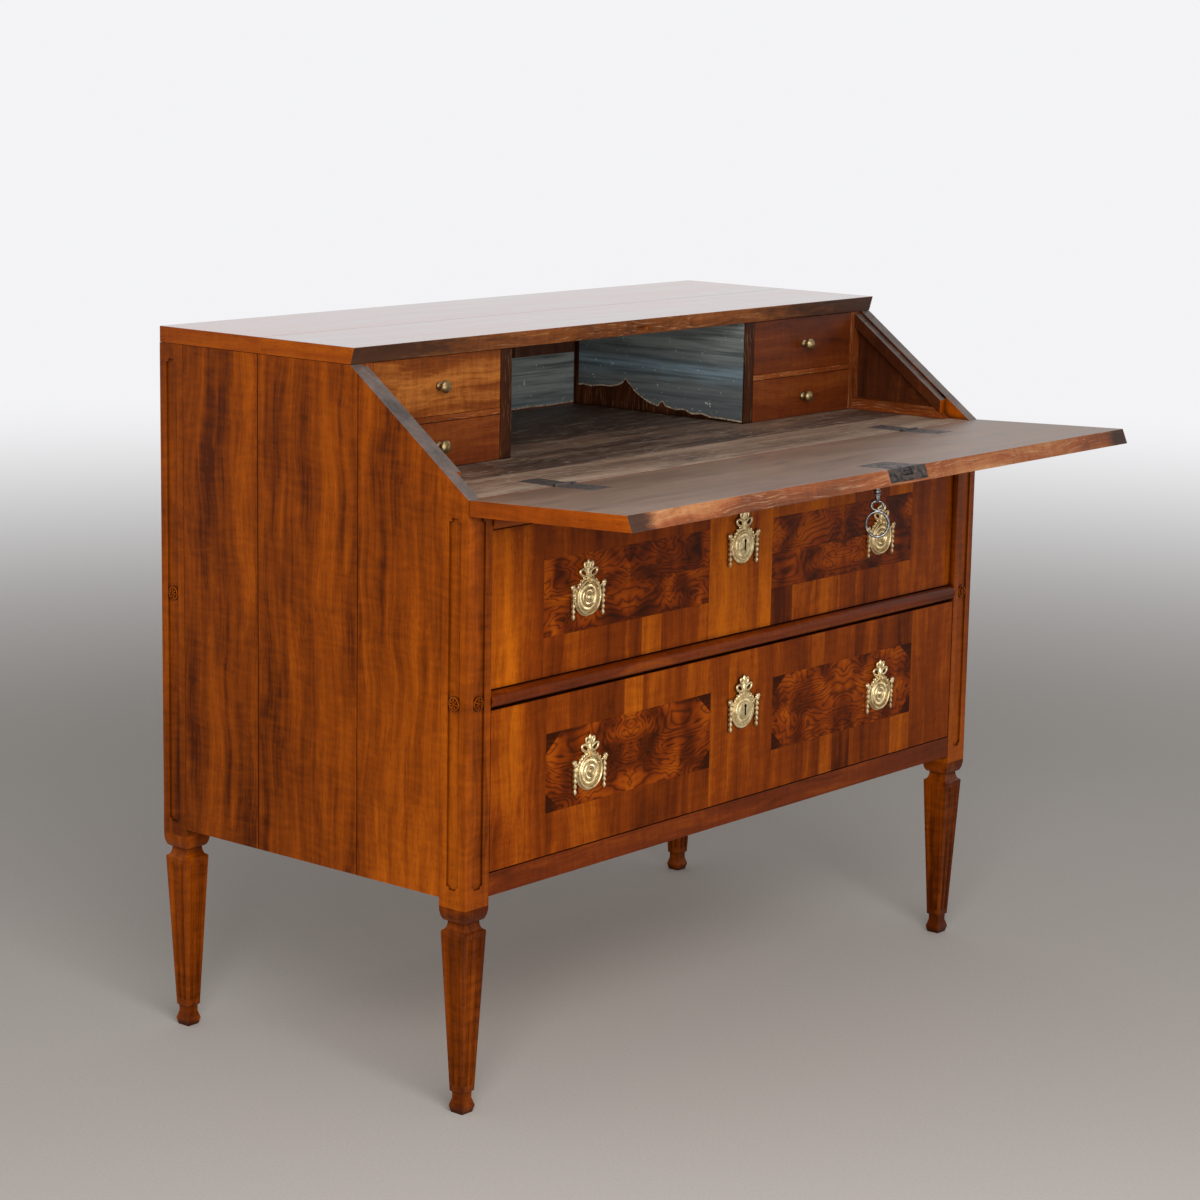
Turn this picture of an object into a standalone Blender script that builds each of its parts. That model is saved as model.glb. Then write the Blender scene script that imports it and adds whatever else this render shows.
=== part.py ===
"""A fall-front writing commode in walnut, with its fall open.

Two long drawers under a sloped top; the fall drops to a writing surface in front of a small
gallery. Metres, +Z up, front towards -Y. The origin is on the floor, in the middle of the box
round the commode with its fall open.
"""

import math

import bmesh
import bpy
from mathutils import Matrix, Vector

# Clearances
FIT = 0.0003
RUN = 0.0005
DRAWER_GAP = 0.0015
DRAWER_BACK_GAP = 0.012
WELD = 0.00001

# Case, stacked from the floor up
FOOT_HEIGHT = 0.019
ANKLE_HEIGHT = 0.010
LEG_LENGTH = 0.2105
NECK_FLARE = 0.0135
NECK_OVOLO = 0.019
BLOCK_HEIGHT = 0.011
APRON_HEIGHT = 0.030
LOWER_OPENING = 0.210
RAIL_HEIGHT = 0.022
UPPER_OPENING = 0.203
BED_THICKNESS = 0.021
GALLERY_HEIGHT = 0.1475
TOP_THICKNESS = 0.0215

# Case, across and from front to back
CASE_WIDTH = 1.120
CASE_DEPTH = 0.553
SLOPE_RUN = 0.2015
TOP_UNDERCUT = 0.006
SIDE_THICKNESS = 0.020
BACK_THICKNESS = 0.014
BACK_INSET = 0.011
BOTTOM_THICKNESS = 0.014
APRON_THICKNESS = 0.022
RAIL_DEPTH = 0.060
RAIL_PROUD = 0.003
RUNNER_BEARING = 0.018
RUNNER_THICKNESS = 0.018
GUIDE_HEIGHT = 0.035

# Corner posts and legs, square in section
POST_WIDTH = 0.044
NECK_WIDTH = 0.028
NECK_FILLET = 0.0015
LEG_TOP_WIDTH = 0.0405
LEG_TOP_LIP = 0.0015
LEG_FOOT_WIDTH = 0.022
ANKLE_WIDTH = 0.0175
FOOT_WIDTH = 0.0235
FOOT_BASE_WIDTH = 0.019
FOOT_BULGE_HEIGHT = 0.009
FLUTE_TOP_RADIUS = 0.0048
FLUTE_FOOT_RADIUS = 0.0030
FLUTE_DEPTH = 0.0020
FLUTE_END_GAP = 0.010
FLUTE_TOP_PITCH = 0.0170
FLUTE_FOOT_PITCH = 0.0092
PANEL_WIDTH = 0.020
PANEL_DEPTH = 0.0025
PANEL_STEP = 0.0045
FRONT_PANEL_FOOT_GAP = 0.013
FRONT_PANEL_HEAD_GAP = 0.004
REAR_PANEL_FOOT_GAP = 0.008
REAR_PANEL_HEAD_GAP = 0.020
ROSETTE_RADIUS = 0.0092
ROSETTE_PROUD = 0.0009
ROSETTE_BUTTON = 0.0030
ROSETTE_DISH = 0.0042
ROSETTE_RIM = 0.0024

# Gallery behind the fall
COMPARTMENT_WIDTH = 0.508
PARTITION_THICKNESS = 0.022
GALLERY_SETBACK = 0.0025
SHELF_THICKNESS = 0.008
LOWER_SMALL_SHARE = 0.4136
STILE_DEPTH = 0.014
LATH_WIDTH = 0.013
LATH_HEIGHT = 0.016
LATH_DROP = 0.004
STRIP_WIDTH = 0.018
STRIP_HEIGHT = 0.016

# Fall front
FALL_THICKNESS = 0.0205
FALL_REST_TILT = math.radians(2.4)
FALL_EDGE_GAP = 0.0006
FALL_TOP_GAP = 0.0015
FALL_SEAT_GAP = 0.0006
HINGE_INSET = 0.1785
HINGE_WIDTH = 0.040
HINGE_LEAF = 0.062
HINGE_PLATE = 0.002
KNUCKLE_RADIUS = 0.003
KNUCKLE_GAP = 0.0004
PIN_RADIUS = 0.0013
LOCK_OFFSET = 0.012
LOCK_WIDTH = 0.062
LOCK_DEPTH = 0.058
LOCK_THICKNESS = 0.013
EDGE_PLATE_WIDTH = 0.085
EDGE_PLATE_HEIGHT = 0.017
EDGE_PLATE_THICKNESS = 0.002
BOLT_WIDTH = 0.022
BOLT_LENGTH = 0.024
BOLT_THICKNESS = 0.005
BOLT_INSET = 0.005
BOLT_SINK = 0.0005
BOLT_THROW = 0.008
KEY_BACKSET = 0.046
KEY_SEAT = 0.008
SHANK_RADIUS = 0.0032
SHANK_LENGTH = 0.026
COLLAR_RADIUS = 0.0048
COLLAR_HEIGHT = 0.0032
COLLAR_START = 0.0130
COLLAR_PITCH = 0.0042
BOW_WIRE = 0.0018
SMALL_BOW_WIDTH = 0.0190
SMALL_BOW_HEIGHT = 0.0160
BOW_WIDTH = 0.0335
BOW_HEIGHT = 0.0370
BOW_TURN = math.radians(-50.0)

# Long drawers
FRONT_THICKNESS = 0.022
UPPER_SETBACK = 0.008
LOWER_SETBACK = 0.0005
TRAY_WALL = 0.012
TRAY_DROP = 0.012
LAP_DEPTH = 0.013
PANEL_BOARD = 0.008
PANEL_RISE = 0.006
PANEL_GROOVE = 0.005
KEYHOLE_RADIUS = 0.0027
KEYHOLE_SLOT = 0.0034
KEYHOLE_HEIGHT = 0.0135

# Brass mounts; the ornament is placed from the edge of the round plate
HANDLE_INSET = 0.190
HANDLE_DROP = 0.0065
ESCUTCHEON_RISE = 0.021
RING_RADIUS = 0.0222
RING_WIRE = 0.0015
RING_GAP = 0.0009
PLATE_THICKNESS = 0.0022
PLATE_MARGIN = 0.0015
BOSS_HEIGHT = 0.0052
BOSS_VALLEY = 0.0037
BUTTON_HEIGHT = 0.0074
BUTTON_RADIUS = 0.0036
BUTTON_GROOVE = 0.0012
BOSS_RING_WIDTH = 0.0016
BOSS_LIP = 0.0050
DOME_HEIGHT = 0.0060
DOME_SHOULDER = 0.0040
DOME_RADIUS = 0.0166
DOME_RIM_WIDTH = 0.0041
EYE_WIRE = 0.0011
EYE_GAP = 0.0006
RELIEF_CENTRE = 0.0026
KNOP_RADIUS = 0.0032
KNOP_OUT = 0.0058
KNOP_RISE = 0.0160
STEM_RADIUS = 0.0011
STEM_ROOT_RISE = 0.0088
STRAND_OUT = 0.0041
STRAND_LENGTH = 0.0425
STRAND_BEADS = 5
STRAND_RADIUS = 0.0025
STRAND_WAIST = 0.0014
KNOT_RISE = 0.0053
KNOT_RADIUS = 0.0040
FINIAL_RISE = 0.0243
FINIAL_LENGTH = 0.0125
FINIAL_BUD = 0.0052
FINIAL_RADIUS = 0.0026
FINIAL_WAIST = 0.0016
LOOP_WIRE = 0.0016
LOWER_LOOP_RISE = 0.0066
LOWER_LOOP_WIDTH = 0.0160
LOWER_LOOP_HEIGHT = 0.0102
LOWER_LOOP_TILT = math.radians(24.0)
UPPER_LOOP_RISE = 0.0156
UPPER_LOOP_WIDTH = 0.0078
UPPER_LOOP_HEIGHT = 0.0108
UPPER_LOOP_TILT = math.radians(-24.0)

# Small drawers and their knobs
SMALL_FRONT = 0.012
SMALL_WALL = 0.007
SMALL_BOTTOM = 0.006
SMALL_GAP = 0.0008
KNOB_HEAD_RADIUS = 0.0085
KNOB_NECK_RADIUS = 0.0034
KNOB_BASE_RADIUS = 0.0055
KNOB_LENGTH = 0.0175
KNOB_HEAD_LENGTH = 0.0065
KNOB_ROUND = 0.0025
KNOB_BASE_LENGTH = 0.0022

# Facets of the turned and rounded shapes
TURN_STEPS = 20
FINE_STEPS = 10
LOOP_STEPS = 8
BEAD_STEPS = 5
ARC_STEPS = 5
CUSP_STEPS = 4
BALL_STEPS = 4

# Colour, roughness and metallic value of each finish
FINISHES = {
    "walnut": ((0.27, 0.085, 0.014), 0.30, 0.0),
    "dark_walnut": ((0.13, 0.036, 0.012), 0.35, 0.0),
    "worn_walnut": ((0.23, 0.15, 0.11), 0.60, 0.0),
    "pine": ((0.42, 0.27, 0.14), 0.70, 0.0),
    "brass": ((0.55, 0.43, 0.20), 0.35, 1.0),
    "iron": ((0.10, 0.095, 0.09), 0.45, 1.0),
}

# Levels above the floor
LEG_FOOT_Z = FOOT_HEIGHT + ANKLE_HEIGHT
LEG_TOP_Z = LEG_FOOT_Z + LEG_LENGTH
NECK_Z = LEG_TOP_Z + NECK_FLARE
BLOCK_Z = NECK_Z + NECK_OVOLO
CASE_Z = BLOCK_Z + BLOCK_HEIGHT
APRON_TOP_Z = CASE_Z + APRON_HEIGHT
DIVIDER_Z = APRON_TOP_Z + LOWER_OPENING
DIVIDER_TOP_Z = DIVIDER_Z + RAIL_HEIGHT
BED_RAIL_Z = DIVIDER_TOP_Z + UPPER_OPENING
BED_UNDER_Z = BED_RAIL_Z + RAIL_HEIGHT
BED_Z = BED_UNDER_Z + BED_THICKNESS
TOP_UNDER_Z = BED_Z + GALLERY_HEIGHT
TOP_Z = TOP_UNDER_Z + TOP_THICKNESS

# The slope that the closed fall lies on, and the fall's own length up that slope
SLOPE = math.atan2(GALLERY_HEIGHT, SLOPE_RUN)
SLOPE_LENGTH = math.hypot(GALLERY_HEIGHT, SLOPE_RUN)
TOP_ARRIS = Vector((SLOPE_RUN - TOP_UNDERCUT, GALLERY_HEIGHT + TOP_THICKNESS))
TOP_ARRIS_ALONG = TOP_ARRIS.x * math.cos(SLOPE) + TOP_ARRIS.y * math.sin(SLOPE)
TOP_ARRIS_ABOVE = TOP_ARRIS.y * math.cos(SLOPE) - TOP_ARRIS.x * math.sin(SLOPE)


def fall_edge(depth):
    """How far the fall's free edge lies from the hinge line, at a depth below its inner face."""
    lean = (TOP_ARRIS_ALONG - SLOPE_LENGTH) / TOP_ARRIS_ABOVE
    return SLOPE_LENGTH + lean * depth - FALL_TOP_GAP


FALL_REACH = fall_edge(FALL_THICKNESS) * math.cos(FALL_REST_TILT)
FALL_REACH += FALL_THICKNESS * math.sin(FALL_REST_TILT)

# Places across and from front to back
HALF = CASE_WIDTH / 2
SIDE_IN = HALF - SIDE_THICKNESS
POST_IN = HALF - POST_WIDTH
BACK_Y = (CASE_DEPTH + FALL_REACH) / 2
FRONT_Y = BACK_Y - CASE_DEPTH
PANEL_Y = BACK_Y - BACK_INSET - BACK_THICKNESS
GALLERY_Y = FRONT_Y + SLOPE_RUN + GALLERY_SETBACK
PARTITION_IN = COMPARTMENT_WIDTH / 2
PARTITION_OUT = PARTITION_IN + PARTITION_THICKNESS
SHELF_Z = BED_Z + GALLERY_HEIGHT * LOWER_SMALL_SHARE
LATH_FOOT_DROP = LATH_DROP + LATH_HEIGHT
HINGE_LINE = Vector((0.0, FRONT_Y, BED_Z))

# The round plate of a mount runs past the ring, and its boss stands inside the ring
PLATE_RADIUS = RING_RADIUS + RING_WIRE + PLATE_MARGIN
BOSS_RADIUS = RING_RADIUS - RING_WIRE - RING_GAP
RING_LIFT = PLATE_THICKNESS + RING_GAP + RING_WIRE


def slope_z(y, drop=0.0):
    """Height of the sloped side edge at y, lowered square to the slope by drop."""
    return BED_Z + (y - FRONT_Y) * math.tan(SLOPE) - (FALL_SEAT_GAP + drop) / math.cos(SLOPE)


def slope_y(z, drop=0.0):
    """Where the sloped side edge, lowered by drop, reaches the height z."""
    return FRONT_Y + (z - BED_Z + (FALL_SEAT_GAP + drop) / math.cos(SLOPE)) / math.tan(SLOPE)


# The scene, emptied, with one collection for the parts and one for the shapes that cut them
for old in list(bpy.data.objects):
    bpy.data.objects.remove(old)
PARTS = bpy.data.collections.new("writing_commode")
CUTTERS = bpy.data.collections.new("cutters")
for group in (PARTS, CUTTERS):
    bpy.context.scene.collection.children.link(group)


# Shapes
def finished(shape):
    """The mesh of a bmesh, with its faces turned outwards."""
    bmesh.ops.recalc_face_normals(shape, faces=shape.faces)
    mesh = bpy.data.meshes.new("shape")
    shape.to_mesh(mesh)
    shape.free()
    return mesh


def settled(obj):
    """An object's evaluated shape as a welded mesh; the object is removed."""
    bpy.context.view_layer.update()
    graph = bpy.context.evaluated_depsgraph_get()
    mesh = bpy.data.meshes.new_from_object(obj.evaluated_get(graph))
    bpy.data.objects.remove(obj)
    shape = bmesh.new()
    shape.from_mesh(mesh)
    bmesh.ops.remove_doubles(shape, verts=shape.verts, dist=WELD)
    return finished(shape)


def sketch(data):
    """A working object that is evaluated and removed again."""
    obj = bpy.data.objects.new("sketch", data)
    CUTTERS.objects.link(obj)
    return obj


def moved(mesh, *steps):
    """The mesh after each matrix in turn."""
    for step in steps:
        mesh.transform(step)
    return mesh


def box_mesh(low, high):
    shape = bmesh.new()
    bmesh.ops.create_cube(shape, size=1.0)
    low, high = Vector(low), Vector(high)
    bmesh.ops.scale(shape, vec=high - low, verts=shape.verts)
    bmesh.ops.translate(shape, vec=(low + high) / 2, verts=shape.verts)
    return finished(shape)


def outline_mesh(points, low, high, axis):
    """A flat outline across the other two axes, extruded along this one from low to high."""
    curve = bpy.data.curves.new("outline", "CURVE")
    curve.dimensions = "2D"
    curve.fill_mode = "BOTH"
    curve.extrude = (high - low) / 2
    spline = curve.splines.new("POLY")
    spline.points.add(len(points) - 1)
    for point, (u, v) in zip(spline.points, points):
        point.co = (u, v, 0.0, 1.0)
    spline.use_cyclic_u = True
    middle = Matrix.Translation((0.0, 0.0, (low + high) / 2))
    turn = {
        "X": Matrix(((0, 0, 1, 0), (1, 0, 0, 0), (0, 1, 0, 0), (0, 0, 0, 1))),
        "Y": Matrix(((1, 0, 0, 0), (0, 0, 1, 0), (0, 1, 0, 0), (0, 0, 0, 1))),
        "Z": Matrix.Identity(4),
    }[axis]
    mesh = moved(settled(sketch(curve)), turn @ middle)
    shape = bmesh.new()
    shape.from_mesh(mesh)
    return finished(shape)


def turned_mesh(profile, steps):
    """A profile of (radius, height) points, top to bottom, turned round Z."""
    shape = bmesh.new()
    points = [shape.verts.new((radius, 0.0, height)) for radius, height in profile]
    for first, second in zip(points, points[1:]):
        shape.edges.new((first, second))
    mesh = bpy.data.meshes.new("profile")
    shape.to_mesh(mesh)
    shape.free()
    stem = sketch(mesh)
    screw = stem.modifiers.new("turn", "SCREW")
    screw.steps = screw.render_steps = steps
    screw.use_merge_vertices = True
    screw.merge_threshold = WELD
    return settled(stem)


def rod_mesh(radius, low, high, steps=FINE_STEPS):
    """A plain round bar along Z."""
    return turned_mesh([(0, high), (radius, high), (radius, low), (0, low)], steps)


def loop_mesh(width, height, wire, around=FINE_STEPS, across=BEAD_STEPS):
    """An oval ring of round wire in the XZ plane, by its outer width and height."""
    shape = bmesh.new()
    bmesh.ops.create_circle(shape, segments=across, radius=wire)
    section = bpy.data.meshes.new("section")
    shape.to_mesh(section)
    shape.free()
    reach = (width + height) / 4 - wire
    moved(section, Matrix.Rotation(math.pi / 2, 4, "X"), Matrix.Translation((reach, 0.0, 0.0)))
    stem = sketch(section)
    screw = stem.modifiers.new("turn", "SCREW")
    screw.steps = screw.render_steps = around
    screw.use_merge_vertices = True
    screw.merge_threshold = WELD
    flat = settled(stem)
    oval = Matrix.Diagonal((width / 2 / (reach + wire), height / 2 / (reach + wire), 1.0, 1.0))
    return moved(flat, oval, Matrix.Rotation(math.pi / 2, 4, "X"))


def arc(centre, radius, start, end, steps=ARC_STEPS):
    """Points along an arc, from one angle to another."""
    turns = [start + (end - start) * n / steps for n in range(steps + 1)]
    return [(centre[0] + radius * math.cos(t), centre[1] + radius * math.sin(t)) for t in turns]


def joined(obj, tool, operation):
    """Adds a Boolean of one object with another."""
    step = obj.modifiers.new(operation.lower(), "BOOLEAN")
    step.operation = operation
    step.solver = "EXACT"
    step.object = tool


def cutter(mesh, parent=None):
    tool = bpy.data.objects.new("cutter", mesh)
    CUTTERS.objects.link(tool)
    tool.parent = parent
    tool.hide_render = True
    tool.display_type = "WIRE"
    return tool


def cut(obj, *meshes):
    """Cuts each mesh, given in the object's own frame, out of an object."""
    for mesh in meshes:
        joined(obj, cutter(mesh, obj), "DIFFERENCE")


def fused(mesh, *others, operation="UNION"):
    """One closed mesh from a mesh and others that overlap it, added or taken away."""
    base = sketch(mesh)
    tools = [sketch(other) for other in others]
    for tool in tools:
        joined(base, tool, operation)
    whole = settled(base)
    for tool in tools:
        bpy.data.objects.remove(tool)
    return whole


def pivot(name, place, parent=None, tilt=0.0):
    """An empty that a moving group hangs on."""
    empty = bpy.data.objects.new(name, None)
    PARTS.objects.link(empty)
    empty.parent = parent
    empty.location = place
    empty.rotation_euler.x = tilt
    return empty


def part(name, mesh, finish, parent=None, place=(0.0, 0.0, 0.0)):
    """A named piece with its own material."""
    mesh.name = name
    mesh.shade_smooth()
    mesh.set_sharp_from_angle(angle=math.radians(35))
    obj = bpy.data.objects.new(name, mesh)
    PARTS.objects.link(obj)
    obj.parent = parent
    obj.location = place
    material = bpy.data.materials.new(f"{name}_{finish}")
    material.use_nodes = True
    shader = material.node_tree.nodes["Principled BSDF"]
    colour, roughness, metallic = FINISHES[finish]
    shader.inputs["Base Color"].default_value = (*colour, 1.0)
    shader.inputs["Roughness"].default_value = roughness
    shader.inputs["Metallic"].default_value = metallic
    mesh.materials.append(material)
    return obj


def spanned(side, inner, outer):
    """The low and high x of a piece on the left (-1) or right (1), from two distances off centre."""
    return sorted((side * inner, side * outer))


SIDES = (("left", -1), ("right", 1))


# Corner posts: each one length of walnut, a square fluted leg below and the post above
def post_profile(top):
    """Half widths of the square section, from the top of the post down to the floor."""
    post, neck = POST_WIDTH / 2, NECK_WIDTH / 2
    start = neck + NECK_FILLET
    flare = LEG_TOP_WIDTH / 2 - LEG_TOP_LIP
    chamfer = (LEG_FOOT_WIDTH - ANKLE_WIDTH) / 2
    quarter = [math.pi / 2 * n / ARC_STEPS for n in range(ARC_STEPS + 1)]
    profile = [(0.0, top), (post, top)]
    for turn in reversed(quarter):
        profile.append((start + (post - start) * math.sin(turn), NECK_Z + NECK_OVOLO * (1 - math.cos(turn))))
    for turn in reversed(quarter):
        rise = LEG_TOP_LIP + (NECK_FLARE - LEG_TOP_LIP) * (1 - math.cos(turn))
        profile.append((neck + (flare - neck) * (1 - math.sin(turn)), LEG_TOP_Z + rise))
    profile.append((LEG_TOP_WIDTH / 2, LEG_TOP_Z))
    profile.append((LEG_FOOT_WIDTH / 2, LEG_FOOT_Z))
    profile.append((ANKLE_WIDTH / 2, LEG_FOOT_Z - chamfer))
    profile.append((ANKLE_WIDTH / 2, FOOT_HEIGHT))
    profile.append((FOOT_WIDTH / 2, FOOT_BULGE_HEIGHT))
    profile.append((FOOT_BASE_WIDTH / 2, 0.0))
    profile.append((0.0, 0.0))
    return profile


def square_mesh(profile):
    """A profile of half widths turned in four steps, which makes a square section."""
    corners = [(half * math.sqrt(2), height) for half, height in profile]
    return moved(turned_mesh(corners, 4), Matrix.Rotation(math.pi / 4, 4, "Z"))


def flute_mesh():
    """The two round channels of each face of a leg, as eight tapering rods with round ends."""
    shape = bmesh.new()
    top_z, foot_z = LEG_TOP_Z - FLUTE_END_GAP, LEG_FOOT_Z + FLUTE_END_GAP
    taper = (LEG_TOP_WIDTH - LEG_FOOT_WIDTH) / 2 / LEG_LENGTH
    for face in range(4):
        for side in (-1, 1):
            top = Vector((side * FLUTE_TOP_PITCH / 2, 0.0, top_z))
            foot = Vector((side * FLUTE_FOOT_PITCH / 2, 0.0, foot_z))
            top.y = taper * FLUTE_END_GAP - LEG_TOP_WIDTH / 2 - FLUTE_TOP_RADIUS + FLUTE_DEPTH
            foot.y = -taper * FLUTE_END_GAP - LEG_FOOT_WIDTH / 2 - FLUTE_FOOT_RADIUS + FLUTE_DEPTH
            half = (top - foot).length / 2
            profile = arc((0.0, half), FLUTE_TOP_RADIUS, math.pi / 2, 0.0, 2)
            profile += arc((0.0, -half), FLUTE_FOOT_RADIUS, 0.0, -math.pi / 2, 2)
            lean = (top - foot).to_track_quat("Z", "Y").to_matrix().to_4x4()
            rod = moved(
                turned_mesh(profile, FINE_STEPS),
                lean,
                Matrix.Translation((top + foot) / 2),
                Matrix.Rotation(face * math.pi / 2, 4, "Z"),
            )
            shape.from_mesh(rod)
    return finished(shape)


def sunk_panel(foot, head):
    """Outline of a sunk panel, stepped at the head and cusped at the foot, round u = 0."""
    wide, narrow = PANEL_WIDTH / 2, PANEL_WIDTH / 2 - PANEL_STEP
    outline = [(narrow, head), (narrow, head - PANEL_STEP), (wide, head - PANEL_STEP)]
    outline += arc((wide, foot), PANEL_STEP, math.pi / 2, math.pi, CUSP_STEPS)
    outline += arc((-wide, foot), PANEL_STEP, 0.0, math.pi / 2, CUSP_STEPS)
    outline += [(-wide, head - PANEL_STEP), (-narrow, head - PANEL_STEP), (-narrow, head)]
    return outline


def rosette_mesh():
    """A turned flower: a raised rim round a domed button, seated in the sunk panel."""
    radius, rise = ROSETTE_RADIUS, ROSETTE_PROUD
    profile = [(0.0, rise), (ROSETTE_BUTTON, rise / 2), (ROSETTE_DISH, rise - PANEL_DEPTH)]
    profile += [(radius - ROSETTE_RIM, rise / 2), (radius - ROSETTE_RIM / 2, rise), (radius, 0.0)]
    profile += [(radius, -PANEL_DEPTH - rise), (0.0, -PANEL_DEPTH - rise)]
    return turned_mesh(profile, FINE_STEPS)


def carve(post, turn, foot, head, rosette_z):
    """Sinks a panel into the face that looks along -Y before this turn, with its rosette."""
    face = -POST_WIDTH / 2
    spin = Matrix.Rotation(turn, 4, "Z")
    cut(post, moved(outline_mesh(sunk_panel(foot, head), face - PANEL_DEPTH, face + PANEL_DEPTH, "Y"), spin))
    flower = moved(
        rosette_mesh(),
        Matrix.Rotation(math.pi / 2, 4, "X"),
        Matrix.Translation((0.0, face, rosette_z)),
        spin,
    )
    joined(post, cutter(flower, post), "UNION")


for side_name, side in SIDES:
    outward = side * math.pi / 2
    x = side * (HALF - POST_WIDTH / 2)

    front = part(
        f"front_{side_name}_post",
        square_mesh(post_profile(slope_z(FRONT_Y + POST_WIDTH))),
        "walnut",
        place=(x, FRONT_Y + POST_WIDTH / 2, 0.0),
    )
    cut(front, flute_mesh())
    rail_middle = DIVIDER_Z + RAIL_HEIGHT / 2
    foot, head = CASE_Z + FRONT_PANEL_FOOT_GAP, BED_UNDER_Z - FRONT_PANEL_HEAD_GAP
    carve(front, 0.0, foot, head, rail_middle)
    carve(front, outward, foot, head, rail_middle)
    reach = POST_WIDTH
    inner_low, inner_high = spanned(side, -reach, POST_WIDTH / 2 - SIDE_THICKNESS)
    cut(front, box_mesh((inner_low, -reach, BED_UNDER_Z), (inner_high, reach, TOP_Z)))
    near, far = -POST_WIDTH / 2 - FIT, POST_WIDTH / 2 + FIT
    line = [slope_z(FRONT_Y + POST_WIDTH / 2 + y) for y in (near, far)]
    wedge = [(near, line[0]), (far, line[1]), (far, TOP_Z), (near, TOP_Z)]
    cut(front, outline_mesh(wedge, -reach, reach, "X"))

    rear = part(
        f"rear_{side_name}_post",
        square_mesh(post_profile(TOP_UNDER_Z - FIT)),
        "walnut",
        place=(x, BACK_Y - POST_WIDTH / 2, 0.0),
    )
    cut(rear, flute_mesh())
    foot, head = CASE_Z + REAR_PANEL_FOOT_GAP, TOP_UNDER_Z - REAR_PANEL_HEAD_GAP
    carve(rear, outward, foot, head, (foot + head) / 2)

# Side panels, sloped at the front, flush between the posts, each with a lath glued inside its slope
for side_name, side in SIDES:
    front_edge, rear_edge = FRONT_Y + POST_WIDTH + FIT, BACK_Y - POST_WIDTH - FIT
    under_top = TOP_UNDER_Z - FIT
    outline = [(front_edge, CASE_Z), (rear_edge, CASE_Z), (rear_edge, under_top)]
    outline += [(slope_y(under_top), under_top), (front_edge, slope_z(front_edge))]
    low, high = spanned(side, SIDE_IN, HALF)
    panel = outline_mesh(outline, low, high, "X")
    near, far = front_edge + FIT, GALLERY_Y - FIT
    lath = [(near, slope_z(near, LATH_DROP)), (near, slope_z(near, LATH_FOOT_DROP))]
    lath += [(far, slope_z(far, LATH_FOOT_DROP)), (far, slope_z(far, LATH_DROP))]
    low, high = spanned(side, SIDE_IN - FIT - LATH_WIDTH, SIDE_IN + FIT)
    part(f"{side_name}_side_panel", fused(panel, outline_mesh(lath, low, high, "X")), "walnut")

# Top board: its front edge leans back below, where the closed fall meets it
top_outline = [(BACK_Y, TOP_UNDER_Z), (BACK_Y, TOP_Z), (FRONT_Y + TOP_ARRIS.x, TOP_Z)]
top_outline += [(FRONT_Y + SLOPE_RUN, TOP_UNDER_Z)]
top_board = part("top_board", outline_mesh(top_outline, -HALF, HALF, "X"), "walnut")
bolt_gap = RUN + FIT
keep_low = fall_edge(BOLT_INSET) - BOLT_THROW
keep_high = fall_edge(BOLT_INSET) + BOLT_THROW + bolt_gap
keep = box_mesh(
    (LOCK_OFFSET - BOLT_WIDTH / 2 - bolt_gap, keep_low, BOLT_INSET - bolt_gap),
    (LOCK_OFFSET + BOLT_WIDTH / 2 + bolt_gap, keep_high, BOLT_INSET + BOLT_THICKNESS + bolt_gap),
)
cut(top_board, moved(keep, Matrix.Rotation(SLOPE, 4, "X"), Matrix.Translation(HINGE_LINE)))

# Back, bottom, apron and the two half-round rails
part(
    "back_panel",
    box_mesh((FIT - POST_IN, PANEL_Y, CASE_Z), (POST_IN - FIT, PANEL_Y + BACK_THICKNESS, TOP_UNDER_Z - FIT)),
    "pine",
)
part(
    "apron_rail",
    box_mesh((FIT - POST_IN, FRONT_Y, CASE_Z), (POST_IN - FIT, FRONT_Y + APRON_THICKNESS, APRON_TOP_Z)),
    "dark_walnut",
)


# Bottom board: notched round the posts, with the guides of the lower drawer glued on along the sides
under, between_posts = APRON_TOP_Z - BOTTOM_THICKNESS, POST_IN - FIT
side_start, side_end = FRONT_Y + POST_WIDTH + FIT, BACK_Y - POST_WIDTH - FIT
tongue = box_mesh(
    (-between_posts, FRONT_Y + APRON_THICKNESS + FIT, under),
    (between_posts, PANEL_Y - FIT, APRON_TOP_Z),
)
bottom_boards = [box_mesh((FIT - SIDE_IN, side_start, under), (SIDE_IN - FIT, side_end, APRON_TOP_Z))]
for _, side in SIDES:
    low, high = spanned(side, POST_IN, SIDE_IN - 2 * FIT)
    foot = (low, side_start + FIT, APRON_TOP_Z - FIT)
    bottom_boards.append(box_mesh(foot, (high, side_end - FIT, APRON_TOP_Z + GUIDE_HEIGHT)))
part("bottom_board", fused(tongue, *bottom_boards), "pine")


def rail_mesh(low, high):
    """A rail across the case front, with a half-round nose."""
    radius = (high - low) / 2
    centre = (FRONT_Y - RAIL_PROUD + radius, (low + high) / 2)
    outline = [(FRONT_Y + RAIL_DEPTH, low), (FRONT_Y + RAIL_DEPTH, high)]
    outline += arc(centre, radius, math.pi / 2, math.pi * 3 / 2, 2 * ARC_STEPS)
    return outline_mesh(outline, FIT - POST_IN, POST_IN - FIT, "X")


part("divider_rail", rail_mesh(DIVIDER_Z, DIVIDER_TOP_Z), "dark_walnut")
part("bed_rail", rail_mesh(BED_RAIL_Z, BED_UNDER_Z - FIT), "dark_walnut")

# Bed board: the fixed part of the writing surface, with the case leaves of the hinges let in
bed_outline = [(SIDE_IN - FIT, FRONT_Y), (SIDE_IN - FIT, side_end)]
bed_outline += [(between_posts, side_end), (between_posts, PANEL_Y - FIT)]
bed_outline += [(-x, y) for x, y in reversed(bed_outline)]
bed_board = part("bed_board", outline_mesh(bed_outline, BED_UNDER_Z, BED_Z, "Z"), "worn_walnut")

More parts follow.
